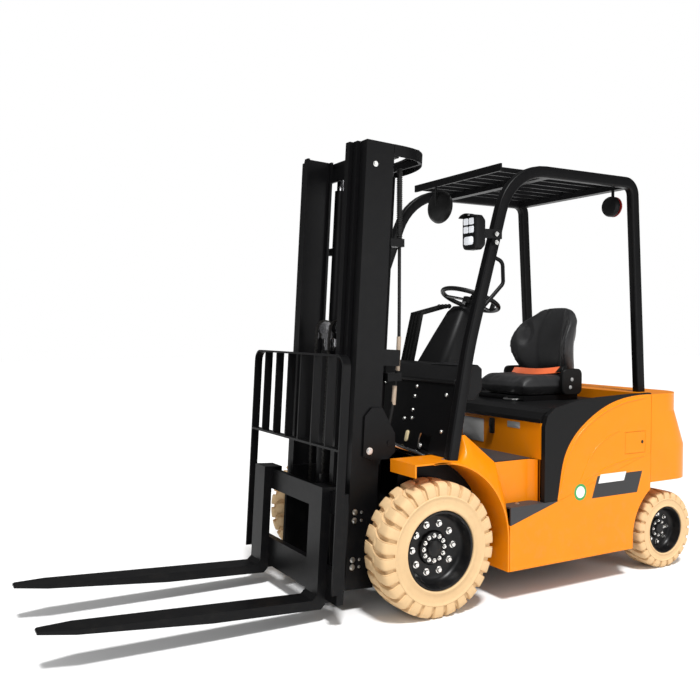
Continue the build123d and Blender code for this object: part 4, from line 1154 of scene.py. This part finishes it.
sheet_thickness = 0.5
sunk = 0.2
panel_face = 650.0
signs = (("side_band_black", slanted(985, 1330, 470, 585, 40, face_x - sunk, sheet_thickness), black_sheet),
         ("side_band_white", slanted(1030, 1225, 545, 592, 18, face_x, 2 * sheet_thickness), white_sheet),
         ("side_disc_green", disc(0.044, 0.0008), green_sheet),
         ("side_disc_white", disc(0.031, 0.0013), white_sheet),
         ("panel_plate", on_panel(37, 0, 800, 0.190, 0.130, 0.0012, 0.004), grey_sheet),
         ("panel_label", on_panel(380, 0, 858, 0.100, 0.034, 0.001, 0.004), grey_sheet))
for name, form, material in signs:
    piece(name, form, "truck", "body_orange", material)
latch = joined([on_panel(212, 0, 836, 0.030, 0.085, 0.014, 0.006),
                on_panel(212, 14, 850, 0.020, 0.034, 0.008, 0.005)])
piece("panel_latch", latch, "truck", "trim_black", materials["control_black"])


# Side panels: a raised bead along the long curve, two finer ones below it, and the flap's lock

def bead(points, radius):
    """a half-sunk round bead that follows a line on the side panel's face and thins out at its ends"""
    line = rounded_path([on_truck(face_x - radius * 450, y, z) for y, z in points], 60)
    size = np.concatenate([[0.3, 0.8], np.ones(len(line) - 4), [0.8, 0.3]])
    return carried(circle(radius, 10), line, size=size)


long_curve = [(752, 505), (775, 600), (800, 705), (868, 800), (975, 882), (1120, 952), (1270, 984),
              (1424, 992)]
second_curve = [(900, 560), (940, 660), (1010, 745), (1110, 800), (1200, 822)]
ridge = [(905, 552), (1010, 600), (1120, 640), (1230, 655), (1400, 668)]
beads = (("panel_bead_", bead(long_curve, 0.007)), ("panel_curve_", bead(second_curve, 0.004)),
         ("panel_ridge_", bead(ridge, 0.004)))
for side, side_name in both_sides:
    for name, form in beads:
        piece(name + side_name, on_side(side, form), "truck", "body_orange", sharp=80.0)
flap_low, flap_high = corners_of("charge_flap")
lock_at = np.array((flap_high[0], flap_high[1] - 0.022, (flap_low[2] + flap_high[2]) / 2))
flap_lock = bolt(lock_at, left, 0.007, 0.003, 20)
piece("flap_lock", flap_lock, "charge_flap", "trim_black", materials["control_black"])


# The bar under the seat's front that adjusts it
base_low, base_high = corners_of("seat_base")
bar_y, bar_z = base_low[1] - 0.028, base_high[2] - 0.020
bar_steps = ((0.16, 0.035, 0.002), (0.17, -0.012, 0), (0.11, -0.020, 0), (0.06, -0.012, 0),
             (0.06, 0.035, 0.002))
handle_line = rounded_path([(x, bar_y + back, bar_z + rise) for x, back, rise in bar_steps])
piece("seat_handle", carried(circle(0.006, 10), handle_line, upward), "hood", "rod_chrome", zinc)


def make_camera():
    """a camera whose back vector follows from azimuth and pitch"""
    data = bpy.data.cameras.new("camera")
    camera = linked("camera", data)
    azimuth, pitch, roll = radians(camera_azimuth), radians(camera_pitch), radians(camera_roll)
    forward = Vector((-sin(azimuth) * cos(pitch), cos(azimuth) * cos(pitch), -sin(pitch)))
    right = Vector((cos(azimuth), sin(azimuth), 0))
    up = right.cross(forward)
    turned_right = right * cos(roll) + up * sin(roll)
    turned_up = up * cos(roll) - right * sin(roll)
    turn = Matrix((turned_right, turned_up, -forward)).transposed()
    camera.matrix_world = Matrix.Translation(camera_place) @ turn.to_4x4()
    data.lens = camera_lens
    data.sensor_width = 36.0
    data.clip_end = 200.0
    bpy.context.scene.camera = camera


def make_floor():
    mesh = bpy.data.meshes.new("floor")
    half = floor_size / 2
    corners = [(-half, -half, 0), (half, -half, 0), (half, half, 0), (-half, half, 0)]
    mesh.from_pydata(corners, [], [(0, 1, 2, 3)])
    floor = linked("floor", mesh)
    shade = Shade("floor_white")
    shade.set(Base_Color=(0.9, 0.9, 0.9, 1.0), Roughness=0.6)
    mesh.materials.append(shade.material)


def make_light(name, place, target, size, power):
    data = bpy.data.lights.new(name, "AREA")
    data.shape = "RECTANGLE"
    data.size, data.size_y = size
    data.energy = power
    lamp = linked(name, data)
    lamp.location = place
    lamp.rotation_euler = (Vector(target) - Vector(place)).to_track_quat("-Z", "Y").to_euler()


def make_sun(direction, strength, angle):
    data = bpy.data.lights.new("sun", "SUN")
    data.energy = strength
    data.angle = radians(angle)
    lamp = linked("sun", data)
    lamp.rotation_euler = Vector(direction).to_track_quat("-Z", "Y").to_euler()


def make_world(seen, lit, mirrored_share):
    """a white studio: seen by the camera, lit on the truck, and a dimmer share mirrored in its paint"""
    world = bpy.data.worlds.new("studio")
    bpy.context.scene.world = world
    world.use_nodes = True
    tree = world.node_tree
    path = tree.nodes.new("ShaderNodeLightPath")
    background = tree.nodes["Background"]
    background.inputs["Color"].default_value = (1.0, 1.0, 1.0, 1.0)
    strength = lit
    for output, value in (("Is Glossy Ray", mirrored_share), ("Is Camera Ray", seen)):
        choice = tree.nodes.new("ShaderNodeMapRange")
        tree.links.new(path.outputs[output], choice.inputs["Value"])
        if isinstance(strength, float):
            choice.inputs["To Min"].default_value = strength
        else:
            tree.links.new(strength, choice.inputs["To Min"])
        choice.inputs["To Max"].default_value = value
        strength = choice.outputs["Result"]
    tree.links.new(strength, background.inputs["Strength"])


make_camera()
make_floor()
make_world(1.0, 0.44, 0.12)
make_sun((-0.45, 0.16, -1.0), 3.5, 9.0)
make_light("key", (3.2, -4.2, 3.4), (0, -0.4, 1.0), (2.5, 2.5), 45)
make_light("side", (5.0, 2.5, 2.0), (0, 0.5, 0.9), (2.0, 3.0), 55)
bpy.context.scene.view_settings.view_transform = "Standard"
